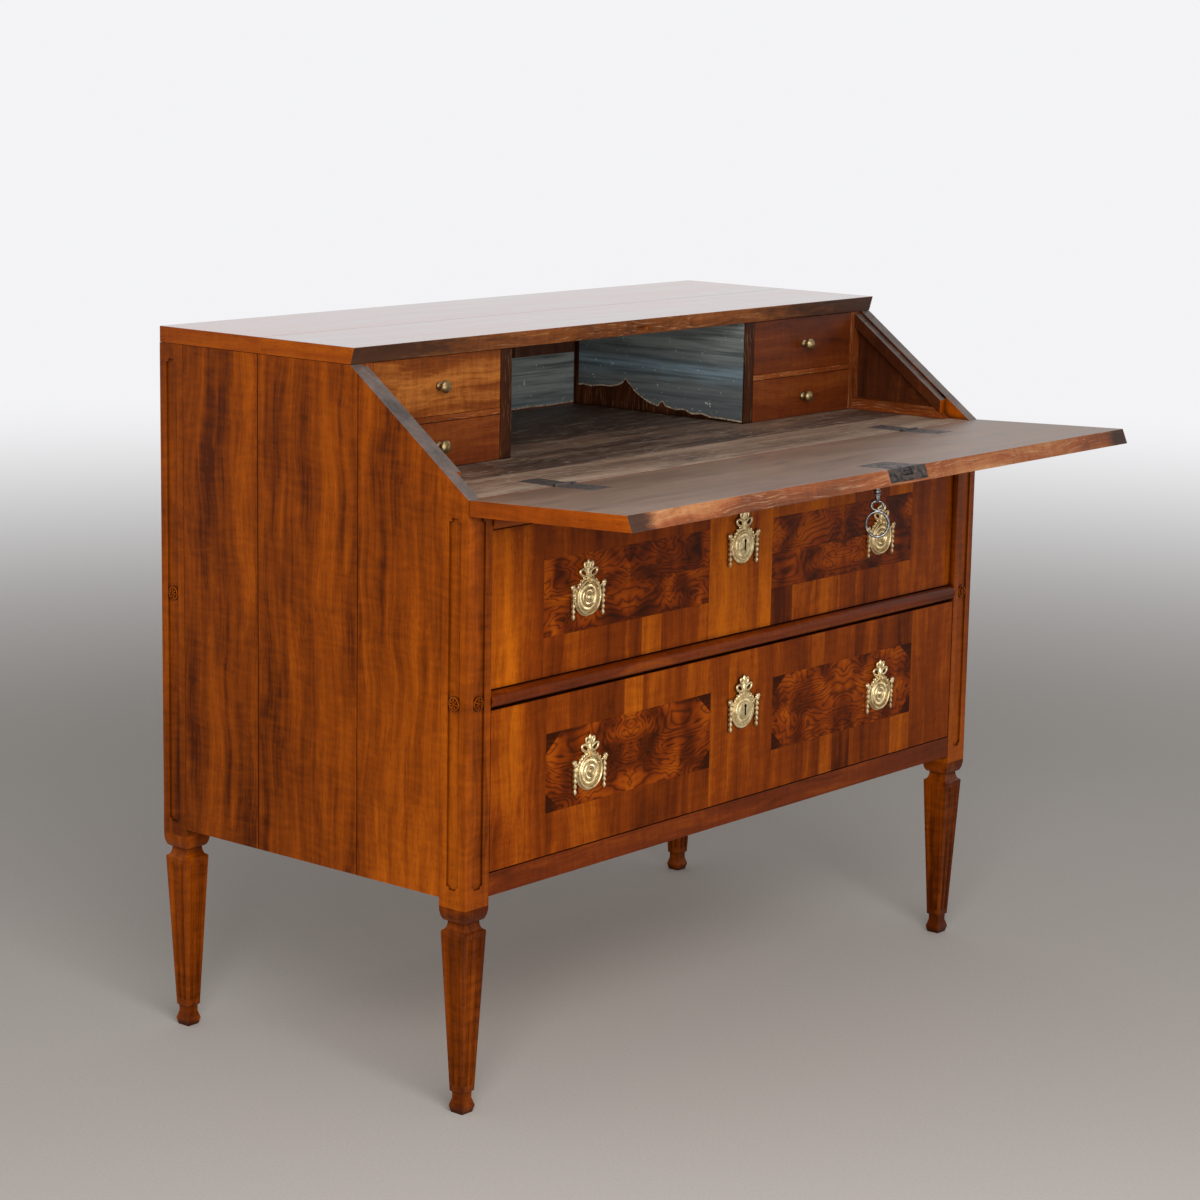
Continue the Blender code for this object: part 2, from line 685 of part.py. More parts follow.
# Runners of the upper drawer, each with its guide, along the sides
for side_name, side in SIDES:
    start, end = FRONT_Y + RAIL_DEPTH + FIT, BACK_Y - POST_WIDTH - FIT
    bearing = POST_IN - RUNNER_BEARING
    tread = DIVIDER_TOP_Z
    base, head = tread - RUNNER_THICKNESS, tread + GUIDE_HEIGHT
    outline = [(SIDE_IN - FIT, base), (bearing, base), (bearing, tread)]
    outline += [(POST_IN, tread), (POST_IN, head), (SIDE_IN - FIT, head)]
    runner = outline_mesh([(side * x, z) for x, z in outline], start, end, "Y")
    part(f"{side_name}_upper_runner", runner, "pine")

# Gallery: partitions, shelves, end stiles, and the foot strips of the side recesses
for side_name, side in SIDES:
    floor, ceiling, rear = BED_Z + FIT, TOP_UNDER_Z - FIT, PANEL_Y - FIT
    low, high = spanned(side, PARTITION_IN, PARTITION_OUT)
    part(f"{side_name}_partition", box_mesh((low, GALLERY_Y, floor), (high, rear, ceiling)), "dark_walnut")
    low, high = spanned(side, POST_IN, SIDE_IN - FIT)
    stile = box_mesh((low, GALLERY_Y, floor), (high, GALLERY_Y + STILE_DEPTH, ceiling))
    part(f"{side_name}_end_stile", stile, "walnut")
    low, high = spanned(side, PARTITION_OUT + FIT, POST_IN - FIT)
    shelf = box_mesh((low, GALLERY_Y, SHELF_Z), (high, rear, SHELF_Z + SHELF_THICKNESS))
    part(f"{side_name}_gallery_shelf", shelf, "walnut")

    low, high = spanned(side, SIDE_IN - FIT - STRIP_WIDTH, SIDE_IN - FIT)
    strip_top, strip_rear = floor + STRIP_HEIGHT, GALLERY_Y - FIT
    strip = [(slope_y(floor, LATH_FOOT_DROP + FIT), floor), (strip_rear, floor), (strip_rear, strip_top)]
    strip += [(slope_y(strip_top, LATH_FOOT_DROP + FIT), strip_top)]
    part(f"{side_name}_foot_strip", outline_mesh(strip, low, high, "X"), "walnut")

# Fall front: its frame has the hinge line at the origin, the board along -Y, the inner face at z = 0
fall = pivot("fall", HINGE_LINE, tilt=-FALL_REST_TILT)


def hinge_edge(depth):
    """Where the fall's hinge edge lies, so that it hangs plumb against the bed at rest."""
    return (depth * math.sin(FALL_REST_TILT) - FALL_EDGE_GAP) / math.cos(FALL_REST_TILT)


fall_outline = [(hinge_edge(0.0), 0.0), (-fall_edge(0.0), 0.0)]
fall_outline += [(-fall_edge(FALL_THICKNESS), -FALL_THICKNESS), (hinge_edge(FALL_THICKNESS), -FALL_THICKNESS)]
fall_board = part("fall_board", outline_mesh(fall_outline, -HALF, HALF, "X"), "walnut", fall)


# Hinges: flush leaves, two knuckles and the pin on the case leaf, one knuckle on the fall leaf
def slab_mesh(low, high, *ends):
    """A flat bit of hinge plate between two x places and two y places."""
    near, far = sorted(ends)
    return box_mesh((low, near, -HINGE_PLATE), (high, far, 0.0))


def leaf_meshes(direction, tabs):
    """A flat leaf that reaches back from the pin along direction, and its tabs up to the pin."""
    root, end = direction * (KNUCKLE_RADIUS + KNUCKLE_GAP), direction * HINGE_LEAF
    plate = slab_mesh(-HINGE_WIDTH / 2, HINGE_WIDTH / 2, root, end)
    return [plate] + [slab_mesh(low + FIT, high - FIT, 0.0, 2 * root) for low, high in tabs]


def pin_mesh(low, high, radius):
    """A round bar along X."""
    return moved(rod_mesh(radius, low, high), Matrix.Rotation(math.pi / 2, 4, "Y"))


def knuckle_mesh(low, high):
    """A knuckle along X, with a flat facet upwards."""
    return moved(pin_mesh(low, high, KNUCKLE_RADIUS), Matrix.Rotation(math.pi / FINE_STEPS, 4, "X"))


def hinge_pocket(direction):
    """What is cut out of a board for a leaf and for the knuckles."""
    wide, deep = HINGE_WIDTH / 2 + FIT, KNUCKLE_RADIUS + KNUCKLE_GAP + FIT
    near, far = sorted((-direction * deep, direction * (HINGE_LEAF + FIT)))
    leaf = box_mesh((-wide, near, -HINGE_PLATE - FIT), (wide, far, deep))
    knuckle = box_mesh((-wide, -deep, -deep), (wide, deep, deep))
    return leaf, knuckle


third = HINGE_WIDTH / 6
for side_name, side in SIDES:
    place = Vector((side * (HALF - HINGE_INSET), 0.0, 0.0))
    shift = Matrix.Translation(place)
    ends = ((-HINGE_WIDTH / 2, -third - KNUCKLE_GAP), (third + KNUCKLE_GAP, HINGE_WIDTH / 2))
    case_leaf = fused(
        *leaf_meshes(1, ends),
        knuckle_mesh(*ends[0]),
        knuckle_mesh(*ends[1]),
        pin_mesh(-third - 2 * KNUCKLE_GAP, third + 2 * KNUCKLE_GAP, PIN_RADIUS),
    )
    part(f"{side_name}_hinge_case_leaf", case_leaf, "iron", place=HINGE_LINE + place)
    middle = (-third, third)
    fall_leaf = fused(*leaf_meshes(-1, (middle,)), knuckle_mesh(*middle))
    leaf = part(f"{side_name}_hinge_fall_leaf", fall_leaf, "iron", fall, place)
    cut(leaf, pin_mesh(-2 * third, 2 * third, PIN_RADIUS + KNUCKLE_GAP))
    cut(fall_board, *[moved(mesh, shift) for mesh in hinge_pocket(-1)])
    cut(bed_board, *[moved(mesh, shift, Matrix.Translation(HINGE_LINE)) for mesh in hinge_pocket(1)])


# Lock, bolt and key of the fall
def edge_y(z):
    """Where the free edge lies at a height in the fall's own frame."""
    return -fall_edge(-z)


def across(width, clear):
    return LOCK_OFFSET - width / 2 - clear, LOCK_OFFSET + width / 2 + clear


def lock_bodies(clear):
    """The lock's case and its edge plate; with a clearance, the hollow that houses them."""
    over, plate_back = 10 * clear, EDGE_PLATE_THICKNESS + clear
    case_foot, plate_foot = -LOCK_THICKNESS - clear, -EDGE_PLATE_HEIGHT - clear
    case_back = LOCK_DEPTH - fall_edge(0.0) + clear
    case = [(case_back, over), (edge_y(over) - over, over)]
    case += [(edge_y(case_foot) - over, case_foot), (case_back, case_foot)]
    plate = [(edge_y(over) + plate_back, over), (edge_y(over) - over, over)]
    plate += [(edge_y(plate_foot) - over, plate_foot), (edge_y(plate_foot) + plate_back, plate_foot)]
    return [
        outline_mesh(case, *across(LOCK_WIDTH, clear), "X"),
        outline_mesh(plate, *across(EDGE_PLATE_WIDTH, clear), "X"),
    ]


key_place = Vector((LOCK_OFFSET, KEY_BACKSET - fall_edge(0.0), -FALL_THICKNESS))
key_bore = rod_mesh(SHANK_RADIUS + RUN, key_place.z - KEY_SEAT, KEY_SEAT + RUN - LOCK_THICKNESS)
moved(key_bore, Matrix.Translation((key_place.x, key_place.y, 0.0)))
bolt_front = BOLT_SINK - fall_edge(BOLT_INSET)
bolt_low, bolt_high = across(BOLT_WIDTH, 0.0)
channel = box_mesh(
    (bolt_low - RUN, bolt_front - BOLT_THROW, -BOLT_INSET - BOLT_THICKNESS - RUN),
    (bolt_high + RUN, bolt_front + BOLT_LENGTH + RUN, -BOLT_INSET + RUN),
)
cut(fall_board, *lock_bodies(FIT), key_bore)
fall_lock = part("fall_lock", fused(*lock_bodies(0.0)), "iron", fall)
cut(fall_lock, channel, key_bore.copy())
part(
    "fall_bolt",
    box_mesh((-BOLT_WIDTH / 2, 0.0, -BOLT_THICKNESS), (BOLT_WIDTH / 2, BOLT_LENGTH, 0.0)),
    "iron",
    fall,
    (LOCK_OFFSET, bolt_front, -BOLT_INSET),
)
shank_top = FALL_THICKNESS - LOCK_THICKNESS + KEY_SEAT - RUN
shank = [(0.0, shank_top), (SHANK_RADIUS, shank_top)]
for n in range(2):
    collar = COLLAR_START + n * COLLAR_PITCH
    shank += [(SHANK_RADIUS, -collar), (COLLAR_RADIUS, -collar - COLLAR_HEIGHT / 4)]
    shank += [(COLLAR_RADIUS, -collar - COLLAR_HEIGHT * 3 / 4), (SHANK_RADIUS, -collar - COLLAR_HEIGHT)]
shank += [(SHANK_RADIUS, -SHANK_LENGTH - 2 * BOW_WIRE), (0.0, -SHANK_LENGTH - 2 * BOW_WIRE)]
small_bow = loop_mesh(SMALL_BOW_WIDTH, SMALL_BOW_HEIGHT, BOW_WIRE)
moved(small_bow, Matrix.Translation((0.0, 0.0, -SHANK_LENGTH - SMALL_BOW_HEIGHT / 2)))
large_bow = loop_mesh(BOW_WIDTH, BOW_HEIGHT, BOW_WIRE, TURN_STEPS)
large_bow_top = SHANK_LENGTH + SMALL_BOW_HEIGHT - BOW_WIRE
moved(large_bow, Matrix.Translation((0.0, 0.0, -large_bow_top - BOW_HEIGHT / 2)))
key_mesh = fused(turned_mesh(shank, FINE_STEPS), small_bow, large_bow)
part("fall_key", moved(key_mesh, Matrix.Rotation(BOW_TURN, 4, "Z")), "iron", fall, key_place)


# Brass mounts: a turned disc under a tied bow, with a hanging strand of husks on each side
def relief(mesh):
    """Turns a shape made along Z into one that stands out along -Y."""
    return moved(mesh, Matrix.Rotation(math.pi / 2, 4, "X"))


def strand_mesh():
    """A string of husks, with a point at the foot."""
    step = STRAND_LENGTH / STRAND_BEADS
    profile = [(0.0, KNOP_RISE)]
    for n in range(STRAND_BEADS):
        top = KNOP_RISE - n * step
        profile += [(STRAND_WAIST, top - STRAND_WAIST / 2), (STRAND_RADIUS, top - step / 2)]
    profile.append((0.0, KNOP_RISE - STRAND_LENGTH))
    return turned_mesh(profile, BEAD_STEPS)


def knop_mesh(side):
    """The round knop on a shoulder, with the stem that ties it to the plate."""
    knop = turned_mesh(arc((0.0, 0.0), KNOP_RADIUS, math.pi / 2, -math.pi / 2, BALL_STEPS), BEAD_STEPS)
    tip = Vector((side * (PLATE_RADIUS + KNOP_OUT), -RELIEF_CENTRE, KNOP_RISE))
    root = Vector((side * BOSS_RADIUS, -STEM_RADIUS, STEM_ROOT_RISE))
    stem = rod_mesh(STEM_RADIUS, 0.0, (tip - root).length, BEAD_STEPS)
    lean = (tip - root).to_track_quat("Z", "Y").to_matrix().to_4x4()
    return fused(moved(knop, Matrix.Translation(tip)), moved(stem, lean, Matrix.Translation(root)))


def ornament_meshes():
    """The tied bow with its finial, the knops and the strands."""
    top, tail = PLATE_RADIUS + FINIAL_RISE, RING_RADIUS + RING_WIRE + EYE_GAP
    finial = [(0.0, top), (FINIAL_RADIUS, top - FINIAL_BUD), (FINIAL_WAIST, top - FINIAL_LENGTH)]
    finial += [(KNOT_RADIUS, PLATE_RADIUS + KNOT_RISE), (FINIAL_RADIUS, tail), (0.0, tail)]
    meshes = [moved(turned_mesh(finial, LOOP_STEPS), Matrix.Translation((0.0, -RELIEF_CENTRE, 0.0)))]
    lower_offset = LOWER_LOOP_WIDTH / 2 + KNOT_RADIUS - 2 * LOOP_WIRE
    upper_offset = UPPER_LOOP_WIDTH / 2 + FINIAL_WAIST - LOOP_WIRE / 2
    loops = (
        (LOWER_LOOP_WIDTH, LOWER_LOOP_HEIGHT, lower_offset, LOWER_LOOP_RISE, LOWER_LOOP_TILT),
        (UPPER_LOOP_WIDTH, UPPER_LOOP_HEIGHT, upper_offset, UPPER_LOOP_RISE, UPPER_LOOP_TILT),
    )
    for _, side in SIDES:
        for width, height, offset, rise, tilt in loops:
            loop = moved(
                loop_mesh(width, height, LOOP_WIRE, LOOP_STEPS),
                Matrix.Rotation(-side * tilt, 4, "Y"),
                Matrix.Translation((side * offset, -RELIEF_CENTRE, PLATE_RADIUS + rise)),
            )
            meshes.append(loop)
        meshes.append(knop_mesh(side))
        strand_place = (side * (PLATE_RADIUS + STRAND_OUT), -RELIEF_CENTRE, 0.0)
        meshes.append(moved(strand_mesh(), Matrix.Translation(strand_place)))
    return meshes


def keyhole_mesh(low, high):
    """A keyhole along Y: a round hole over a slot."""
    turn = math.asin(KEYHOLE_SLOT / 2 / KEYHOLE_RADIUS)
    outline = arc((0.0, 0.0), KEYHOLE_RADIUS, turn - math.pi / 2, math.pi * 3 / 2 - turn, 10)
    outline += [(-KEYHOLE_SLOT / 2, -KEYHOLE_HEIGHT), (KEYHOLE_SLOT / 2, -KEYHOLE_HEIGHT)]
    return moved(outline_mesh(outline, low, high, "Y"), Matrix.Translation((0.0, 0.0, KEYHOLE_HEIGHT / 2)))


def mount_mesh(profile, *additions):
    """A turned plate with its ornament, planed flat at the back."""
    whole = [(PLATE_RADIUS, PLATE_THICKNESS), (PLATE_RADIUS, -PLATE_THICKNESS), (0.0, -PLATE_THICKNESS)]
    plate = relief(turned_mesh(profile + whole, TURN_STEPS))
    reach = PLATE_RADIUS + FINIAL_RISE
    behind = box_mesh((-reach, 0.0, -reach), (reach, reach, 2 * reach))
    return fused(fused(plate, *ornament_meshes(), *additions), behind, operation="DIFFERENCE")


def handle_plate_mesh():
    """A ringed boss on a flat plate, with the eye that the ring pull hangs in."""
    groove = BUTTON_RADIUS + BUTTON_GROOVE
    ring = groove + BUTTON_GROOVE
    profile = [(0.0, BUTTON_HEIGHT), (BUTTON_RADIUS, BOSS_HEIGHT), (groove, BOSS_VALLEY)]
    profile += [(ring, BOSS_HEIGHT), (ring + BOSS_RING_WIDTH, BOSS_HEIGHT)]
    profile += [(ring + 2 * BOSS_RING_WIDTH, BOSS_VALLEY), (BOSS_RADIUS - BOSS_LIP, BOSS_HEIGHT)]
    profile += [(BOSS_RADIUS, BOSS_VALLEY), (BOSS_RADIUS, PLATE_THICKNESS)]
    height = 2 * (RING_WIRE + EYE_GAP + 2 * EYE_WIRE)
    eye = moved(
        loop_mesh(height, height, EYE_WIRE),
        Matrix.Rotation(math.pi / 2, 4, "Z"),
        Matrix.Translation((0.0, -RING_LIFT, RING_RADIUS)),
    )
    return mount_mesh(profile, eye)


def escutcheon_mesh():
    """A domed and ringed plate with a keyhole."""
    profile = [(0.0, DOME_HEIGHT), (DOME_RADIUS / 2, (DOME_HEIGHT + BOSS_HEIGHT) / 2)]
    profile += [(DOME_RADIUS, DOME_SHOULDER), (DOME_RADIUS + DOME_RIM_WIDTH, DOME_SHOULDER)]
    return fused(mount_mesh(profile), keyhole_mesh(-2 * DOME_HEIGHT, DOME_HEIGHT), operation="DIFFERENCE")


PLATE_MESH = handle_plate_mesh()
ESCUTCHEON_MESH = escutcheon_mesh()


# Long drawers: a thick front, a lapped tray, a bottom in grooves, and the brass mounts
def long_drawer(name, opening_low, opening_high, setback):
    face = FRONT_Y + setback
    drawer = pivot(name, (0.0, face, opening_low))
    height = opening_high - opening_low
    half = POST_IN - DRAWER_GAP
    low, high = DRAWER_GAP, height - DRAWER_GAP
    middle = (low + high) / 2
    end = PANEL_Y - DRAWER_BACK_GAP - face
    tray_low, tray_high = RUN, high - TRAY_DROP
    lap = FRONT_THICKNESS - LAP_DEPTH

    board = part(
        f"{name}_front",
        box_mesh((-half, 0.0, low), (half, FRONT_THICKNESS, high)),
        "walnut",
        drawer,
    )
    inner = half - TRAY_WALL
    outline = [(half, lap + FIT), (half, end), (-half, end), (-half, lap + FIT), (-inner, lap + FIT)]
    outline += [(-inner, end - TRAY_WALL), (inner, end - TRAY_WALL), (inner, lap + FIT)]
    tray = part(f"{name}_tray", outline_mesh(outline, tray_low, tray_high, "Z"), "pine", drawer)
    for side in (-1, 1):
        left, right = spanned(side, inner - FIT, half + DRAWER_GAP)
        cut(board, box_mesh((left, lap, -height), (right, 2 * FRONT_THICKNESS, tray_high + FIT)))
    reach = inner + PANEL_GROOVE - FIT
    panel_low, panel_high = tray_low + PANEL_RISE, tray_low + PANEL_RISE + PANEL_BOARD
    near, far = FRONT_THICKNESS - PANEL_GROOVE + FIT, end - TRAY_WALL + PANEL_GROOVE - FIT
    part(f"{name}_bottom", box_mesh((-reach, near, panel_low), (reach, far, panel_high)), "pine", drawer)
    for housing in (board, tray):
        groove = box_mesh(
            (-reach - FIT, near - FIT, panel_low - FIT),
            (reach + FIT, far + FIT, panel_high + FIT),
        )
        cut(housing, groove)

    lock_z = middle + ESCUTCHEON_RISE
    shift = Matrix.Translation((0.0, 0.0, lock_z))
    cut(board, moved(keyhole_mesh(-FRONT_THICKNESS, 2 * FRONT_THICKNESS), shift))
    part(f"{name}_escutcheon", ESCUTCHEON_MESH.copy(), "brass", drawer, (0.0, -FIT, lock_z))
    handle_z = middle - HANDLE_DROP
    for side_name, side in SIDES:
        x = side * (POST_IN - HANDLE_INSET)
        part(f"{name}_{side_name}_handle_plate", PLATE_MESH.copy(), "brass", drawer, (x, -FIT, handle_z))
        ring = loop_mesh(2 * (RING_RADIUS + RING_WIRE), 2 * (RING_RADIUS + RING_WIRE), RING_WIRE, TURN_STEPS)
        moved(ring, Matrix.Translation((0.0, 0.0, -RING_RADIUS)))
        place = (x, -FIT - RING_LIFT, handle_z + RING_RADIUS)
        part(f"{name}_{side_name}_ring", ring, "brass", drawer, place)


long_drawer("upper_drawer", DIVIDER_TOP_Z, BED_RAIL_Z, UPPER_SETBACK)
long_drawer("lower_drawer", APRON_TOP_Z, DIVIDER_Z, LOWER_SETBACK)


# Small drawers of the gallery: four walls, a bottom let in between them, and a turned brass knob
def knob_mesh():
    head = KNOB_LENGTH - KNOB_HEAD_LENGTH
    profile = [(0.0, KNOB_LENGTH), (KNOB_HEAD_RADIUS - KNOB_ROUND, KNOB_LENGTH - KNOB_ROUND / 2)]
    profile += [(KNOB_HEAD_RADIUS, head + KNOB_ROUND), (KNOB_NECK_RADIUS, head)]
    profile += [(KNOB_NECK_RADIUS, KNOB_BASE_LENGTH + KNOB_ROUND), (KNOB_BASE_RADIUS, KNOB_BASE_LENGTH)]
    profile += [(KNOB_BASE_RADIUS, 0.0), (0.0, 0.0)]
    return relief(turned_mesh(profile, FINE_STEPS))


levels = (
    ("upper", SHELF_Z + SHELF_THICKNESS, TOP_UNDER_Z),
    ("lower", BED_Z, SHELF_Z),
)
for level, opening_low, opening_high in levels:
    for side_name, side in SIDES:
        name = f"{level}_{side_name}_small_drawer"
        middle = side * (PARTITION_OUT + POST_IN) / 2
        half = (POST_IN - PARTITION_OUT) / 2 - SMALL_GAP
        height = opening_high - opening_low - SMALL_GAP
        depth = PANEL_Y - GALLERY_Y - DRAWER_BACK_GAP
        inner, far = half - SMALL_WALL, depth - SMALL_WALL
        box = part(
            name,
            box_mesh((-half, 0.0, RUN), (half, depth, height)),
            "walnut",
            place=(middle, GALLERY_Y, opening_low),
        )
        cut(box, box_mesh((-inner, SMALL_FRONT, -height), (inner, far, 2 * height)))
        bottom = box_mesh(
            (FIT - inner, SMALL_FRONT + FIT, RUN),
            (inner - FIT, far - FIT, RUN + SMALL_BOTTOM),
        )
        part(f"{name}_bottom", bottom, "pine", box)
        part(f"{name}_knob", knob_mesh(), "brass", box, (0.0, -FIT, height / 2))
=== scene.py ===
import math

import bmesh
import bpy
from mathutils import Matrix, Vector


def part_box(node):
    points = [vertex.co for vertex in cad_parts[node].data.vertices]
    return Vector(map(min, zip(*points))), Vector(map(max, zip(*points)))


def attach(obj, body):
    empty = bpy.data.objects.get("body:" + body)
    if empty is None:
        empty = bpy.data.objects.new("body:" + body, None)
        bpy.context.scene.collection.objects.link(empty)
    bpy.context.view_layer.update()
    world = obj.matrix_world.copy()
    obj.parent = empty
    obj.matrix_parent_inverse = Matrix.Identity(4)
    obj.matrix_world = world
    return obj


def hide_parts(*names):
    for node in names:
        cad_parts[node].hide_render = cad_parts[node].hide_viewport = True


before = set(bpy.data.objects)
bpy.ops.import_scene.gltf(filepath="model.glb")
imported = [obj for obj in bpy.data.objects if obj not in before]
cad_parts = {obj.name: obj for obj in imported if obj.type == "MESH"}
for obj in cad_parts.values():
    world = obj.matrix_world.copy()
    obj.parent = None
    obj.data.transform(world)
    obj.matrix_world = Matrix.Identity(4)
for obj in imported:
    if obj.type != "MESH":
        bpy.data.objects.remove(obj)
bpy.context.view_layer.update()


# Corner posts. Each is one length of solid walnut: a fluted square leg, a narrow neck, and the post
# above, sunk with stepped panels and carved with small rosettes. Old polish and painted shade darken
# the hollows.
MM = 0.001
POST_EASE = 0.7 * MM
WELD = 0.01 * MM
FLAT_ANGLE = math.radians(0.4)
ARRIS_ANGLE = math.radians(26)
SMOOTH_ANGLE = math.radians(40)
WALNUT_TONES = ("#4c1c02", "#8c3f05", "#b65a0b")
SHELLAC = "#b4600f"
OLD_POLISH_AND_SHADE = "#260d02"


def linear(code):
    """An sRGB hex colour as linear values for a shader."""
    parts = [int(code[n:n + 2], 16) / 255 for n in (1, 3, 5)]
    return [p / 12.92 if p <= 0.04045 else ((p + 0.055) / 1.055) ** 2.4 for p in parts] + [1.0]


def add(tree, kind, settings, inputs):
    """Adds a shader node, with its settings, and with a value or a link on each named input."""
    node = tree.nodes.new("ShaderNode" + kind)
    for name, value in settings.items():
        if name == "stops":
            for n, (spot, code) in enumerate(value):
                stop = node.color_ramp.elements[n] if n < 2 else node.color_ramp.elements.new(spot)
                stop.position = spot
                stop.color = linear(code)
        else:
            setattr(node, name, value)
    for key, value in inputs.items():
        if isinstance(value, bpy.types.NodeSocket):
            tree.links.new(value, node.inputs[key])
        else:
            node.inputs[key].default_value = value
    return node


def grain_noise(tree, spot, along, across, length, detail=3.0):
    """Noise drawn out along the grain: its width and its length in millimetres."""
    scale = [1 / (MM * (length if axis in along else across)) for axis in "XYZ"]
    near = add(tree, "Mapping", {}, {"Vector": spot, "Scale": scale}).outputs[0]
    settings = {"Vector": near, "Scale": 1.0, "Detail": detail, "Roughness": 0.55, "Distortion": 0.3}
    return add(tree, "TexNoise", {}, settings).outputs["Fac"]


def blended(tree, colour, value, start, full, most, code):
    """Lays a second colour over a first one where a value lies between start and full."""
    limits = {"Value": value, "From Min": start, "From Max": full, "To Max": most}
    cover = add(tree, "MapRange", {}, limits).outputs["Result"]
    return add(tree, "Mix", {"data_type": "RGBA"}, {0: cover, 6: colour, 7: linear(code)}).outputs[2]


def timber(
    name, tones, along, gloss=0.32, shine=0.25, coat=0.0, contrast=0.15, ripple=0.10, polished=True, **marks
):
    """Wood as it was planed and finished: broad and fine streaks along the grain, pores, and a ripple
    across it. The marks are colours: of stains, of rubs, of dirt and painted shade in hollows and
    beside other parts, and of dirty ends."""
    material = bpy.data.materials.new(name)
    material.use_nodes = True
    tree = material.node_tree
    shader = tree.nodes["Principled BSDF"]
    place = add(tree, "TexCoord", {}, {}).outputs["Object"]
    shift = add(tree, "Attribute", {"attribute_name": "shift"}, {}).outputs["Vector"]
    tone = add(tree, "Attribute", {"attribute_name": "tone"}, {}).outputs["Fac"]
    spot = add(tree, "VectorMath", {"operation": "ADD"}, {0: place, 1: shift}).outputs[0]
    # The figure sways by up to 36 mm, over some 170 mm.
    settings = {"Vector": spot, "Scale": 1 / (170 * MM), "Detail": 2.0}
    sway = add(tree, "TexNoise", {}, settings).outputs["Color"]
    settings = {0: sway, 1: (36 * MM,) * 3, 2: spot}
    spot = add(tree, "VectorMath", {"operation": "MULTIPLY_ADD"}, settings).outputs[0]
    total = add(tree, "Math", {"operation": "SUBTRACT"}, {0: tone, 1: ripple / 2}).outputs[0]
    # Each layer of the figure: its width across the grain and length along it in mm, and its weight.
    layers = ((55, 620, 0.38), (15, 330, 0.24), (2.6, 170, 0.11), (190, 420, 0.27), (34, 8, ripple))
    for across, length, weight in layers:
        wave = grain_noise(tree, spot, along, across, length)
        total = add(tree, "Math", {"operation": "MULTIPLY_ADD"}, {0: wave, 1: weight, 2: total}).outputs[0]
    dark, middle, light = tones
    stops = ((0.5 - contrast, dark), (0.5, middle), (0.5 + contrast, light))
    colour = add(tree, "ValToRGB", {"stops": stops}, {"Fac": total}).outputs["Color"]
    # Pores are 0.2 mm wide on the real wood; they are drawn 0.9 mm wide so that they show.
    pores = grain_noise(tree, spot, along, 0.9, 15, 1.0)
    colour = blended(tree, colour, pores, 0.58, 0.76, 0.6, dark)
    if "stain" in marks:
        spread = grain_noise(tree, spot, along, 46, 130, 6.0)
        colour = blended(tree, colour, spread, 0.56, 0.72, 0.75, marks["stain"])
    if "rubs" in marks:
        spread = grain_noise(tree, spot, along, 2.2, 90, 6.0)
        colour = blended(tree, colour, spread, 0.56, 0.74, 0.75, marks["rubs"])
    if "ends" in marks:
        code, start, full = marks["ends"]
        reach = add(tree, "SeparateXYZ", {}, {0: place}).outputs["X"]
        reach = add(tree, "Math", {"operation": "ABSOLUTE"}, {0: reach}).outputs[0]
        ragged = grain_noise(tree, place, along, 9, 30, 4.0)
        drift = full - start
        settings = {0: ragged, 1: drift * 1.5, 2: reach}
        reach = add(tree, "Math", {"operation": "MULTIPLY_ADD"}, settings).outputs[0]
        colour = blended(tree, colour, reach, start + drift * 0.75, full + drift * 0.75, 0.9, code)
    # Dirt and painted shade: darker wherever ambient occlusion finds a surface within 9 mm.
    if "grime" in marks:
        occlusion_shade = add(tree, "AmbientOcclusion", {"samples": 6}, {"Distance": 9 * MM}).outputs["AO"]
        colour = blended(tree, colour, occlusion_shade, 0.92, 0.45, 0.9, marks["grime"])
    limits = {"Value": total, "From Min": 0.3, "From Max": 0.7}
    limits |= {"To Min": gloss - 0.05, "To Max": gloss + 0.08}
    rough = add(tree, "MapRange", {}, limits).outputs["Result"]
    bump = {"Strength": 0.12, "Distance": 0.3 * MM, "Height": pores}
    normal = add(tree, "Bump", {"invert": True}, bump).outputs["Normal"]
    for socket, value in (("Base Color", colour), ("Roughness", rough), ("Normal", normal)):
        tree.links.new(value, shader.inputs[socket])
    shader.inputs["IOR"].default_value = 1.5
    shader.inputs["Specular IOR Level"].default_value = shine
    shader.inputs["Specular Tint"].default_value = linear(SHELLAC if polished else "#ffffff")
    shader.inputs["Coat Weight"].default_value = coat
    shader.inputs["Coat Roughness"].default_value = 0.06
    return material


def blank(node=None):
    """An empty shape, or a piece's solid, whose faces can carry a tone and a place in the figure."""
    shape = bmesh.new()
    if node:
        shape.from_mesh(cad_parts[node].data)
    shape.faces.layers.float.new("tone")
    shape.faces.layers.float_vector.new("shift")
    return shape


def solid_of(node):
    """The solid of a piece, with its facets merged into flat faces."""
    shape = blank(node)
    bmesh.ops.remove_doubles(shape, verts=shape.verts, dist=WELD)
    bmesh.ops.dissolve_limit(shape, angle_limit=FLAT_ANGLE, verts=shape.verts, edges=shape.edges)
    for face in shape.faces:
        face.material_index = 0
    return shape


def rounded(shape, width):
    """Rounds every arris of a solid."""
    sharp = [e for e in shape.edges if e.is_manifold and e.calc_face_angle() > ARRIS_ANGLE]
    bmesh.ops.bevel(
        shape, geom=sharp, offset=width, offset_type="OFFSET", segments=2, profile=0.5,
        affect="EDGES", clamp_overlap=True, material=-1,
    )
    return shape


def grained(shape, tone, shift, faces=None):
    """Sets how light some faces of a shape are, and which part of the figure lies on them."""
    tones = shape.faces.layers.float["tone"]
    shifts = shape.faces.layers.float_vector["shift"]
    for face in shape.faces if faces is None else faces:
        face[tones] = tone
        face[shifts] = Vector(shift)
    return shape


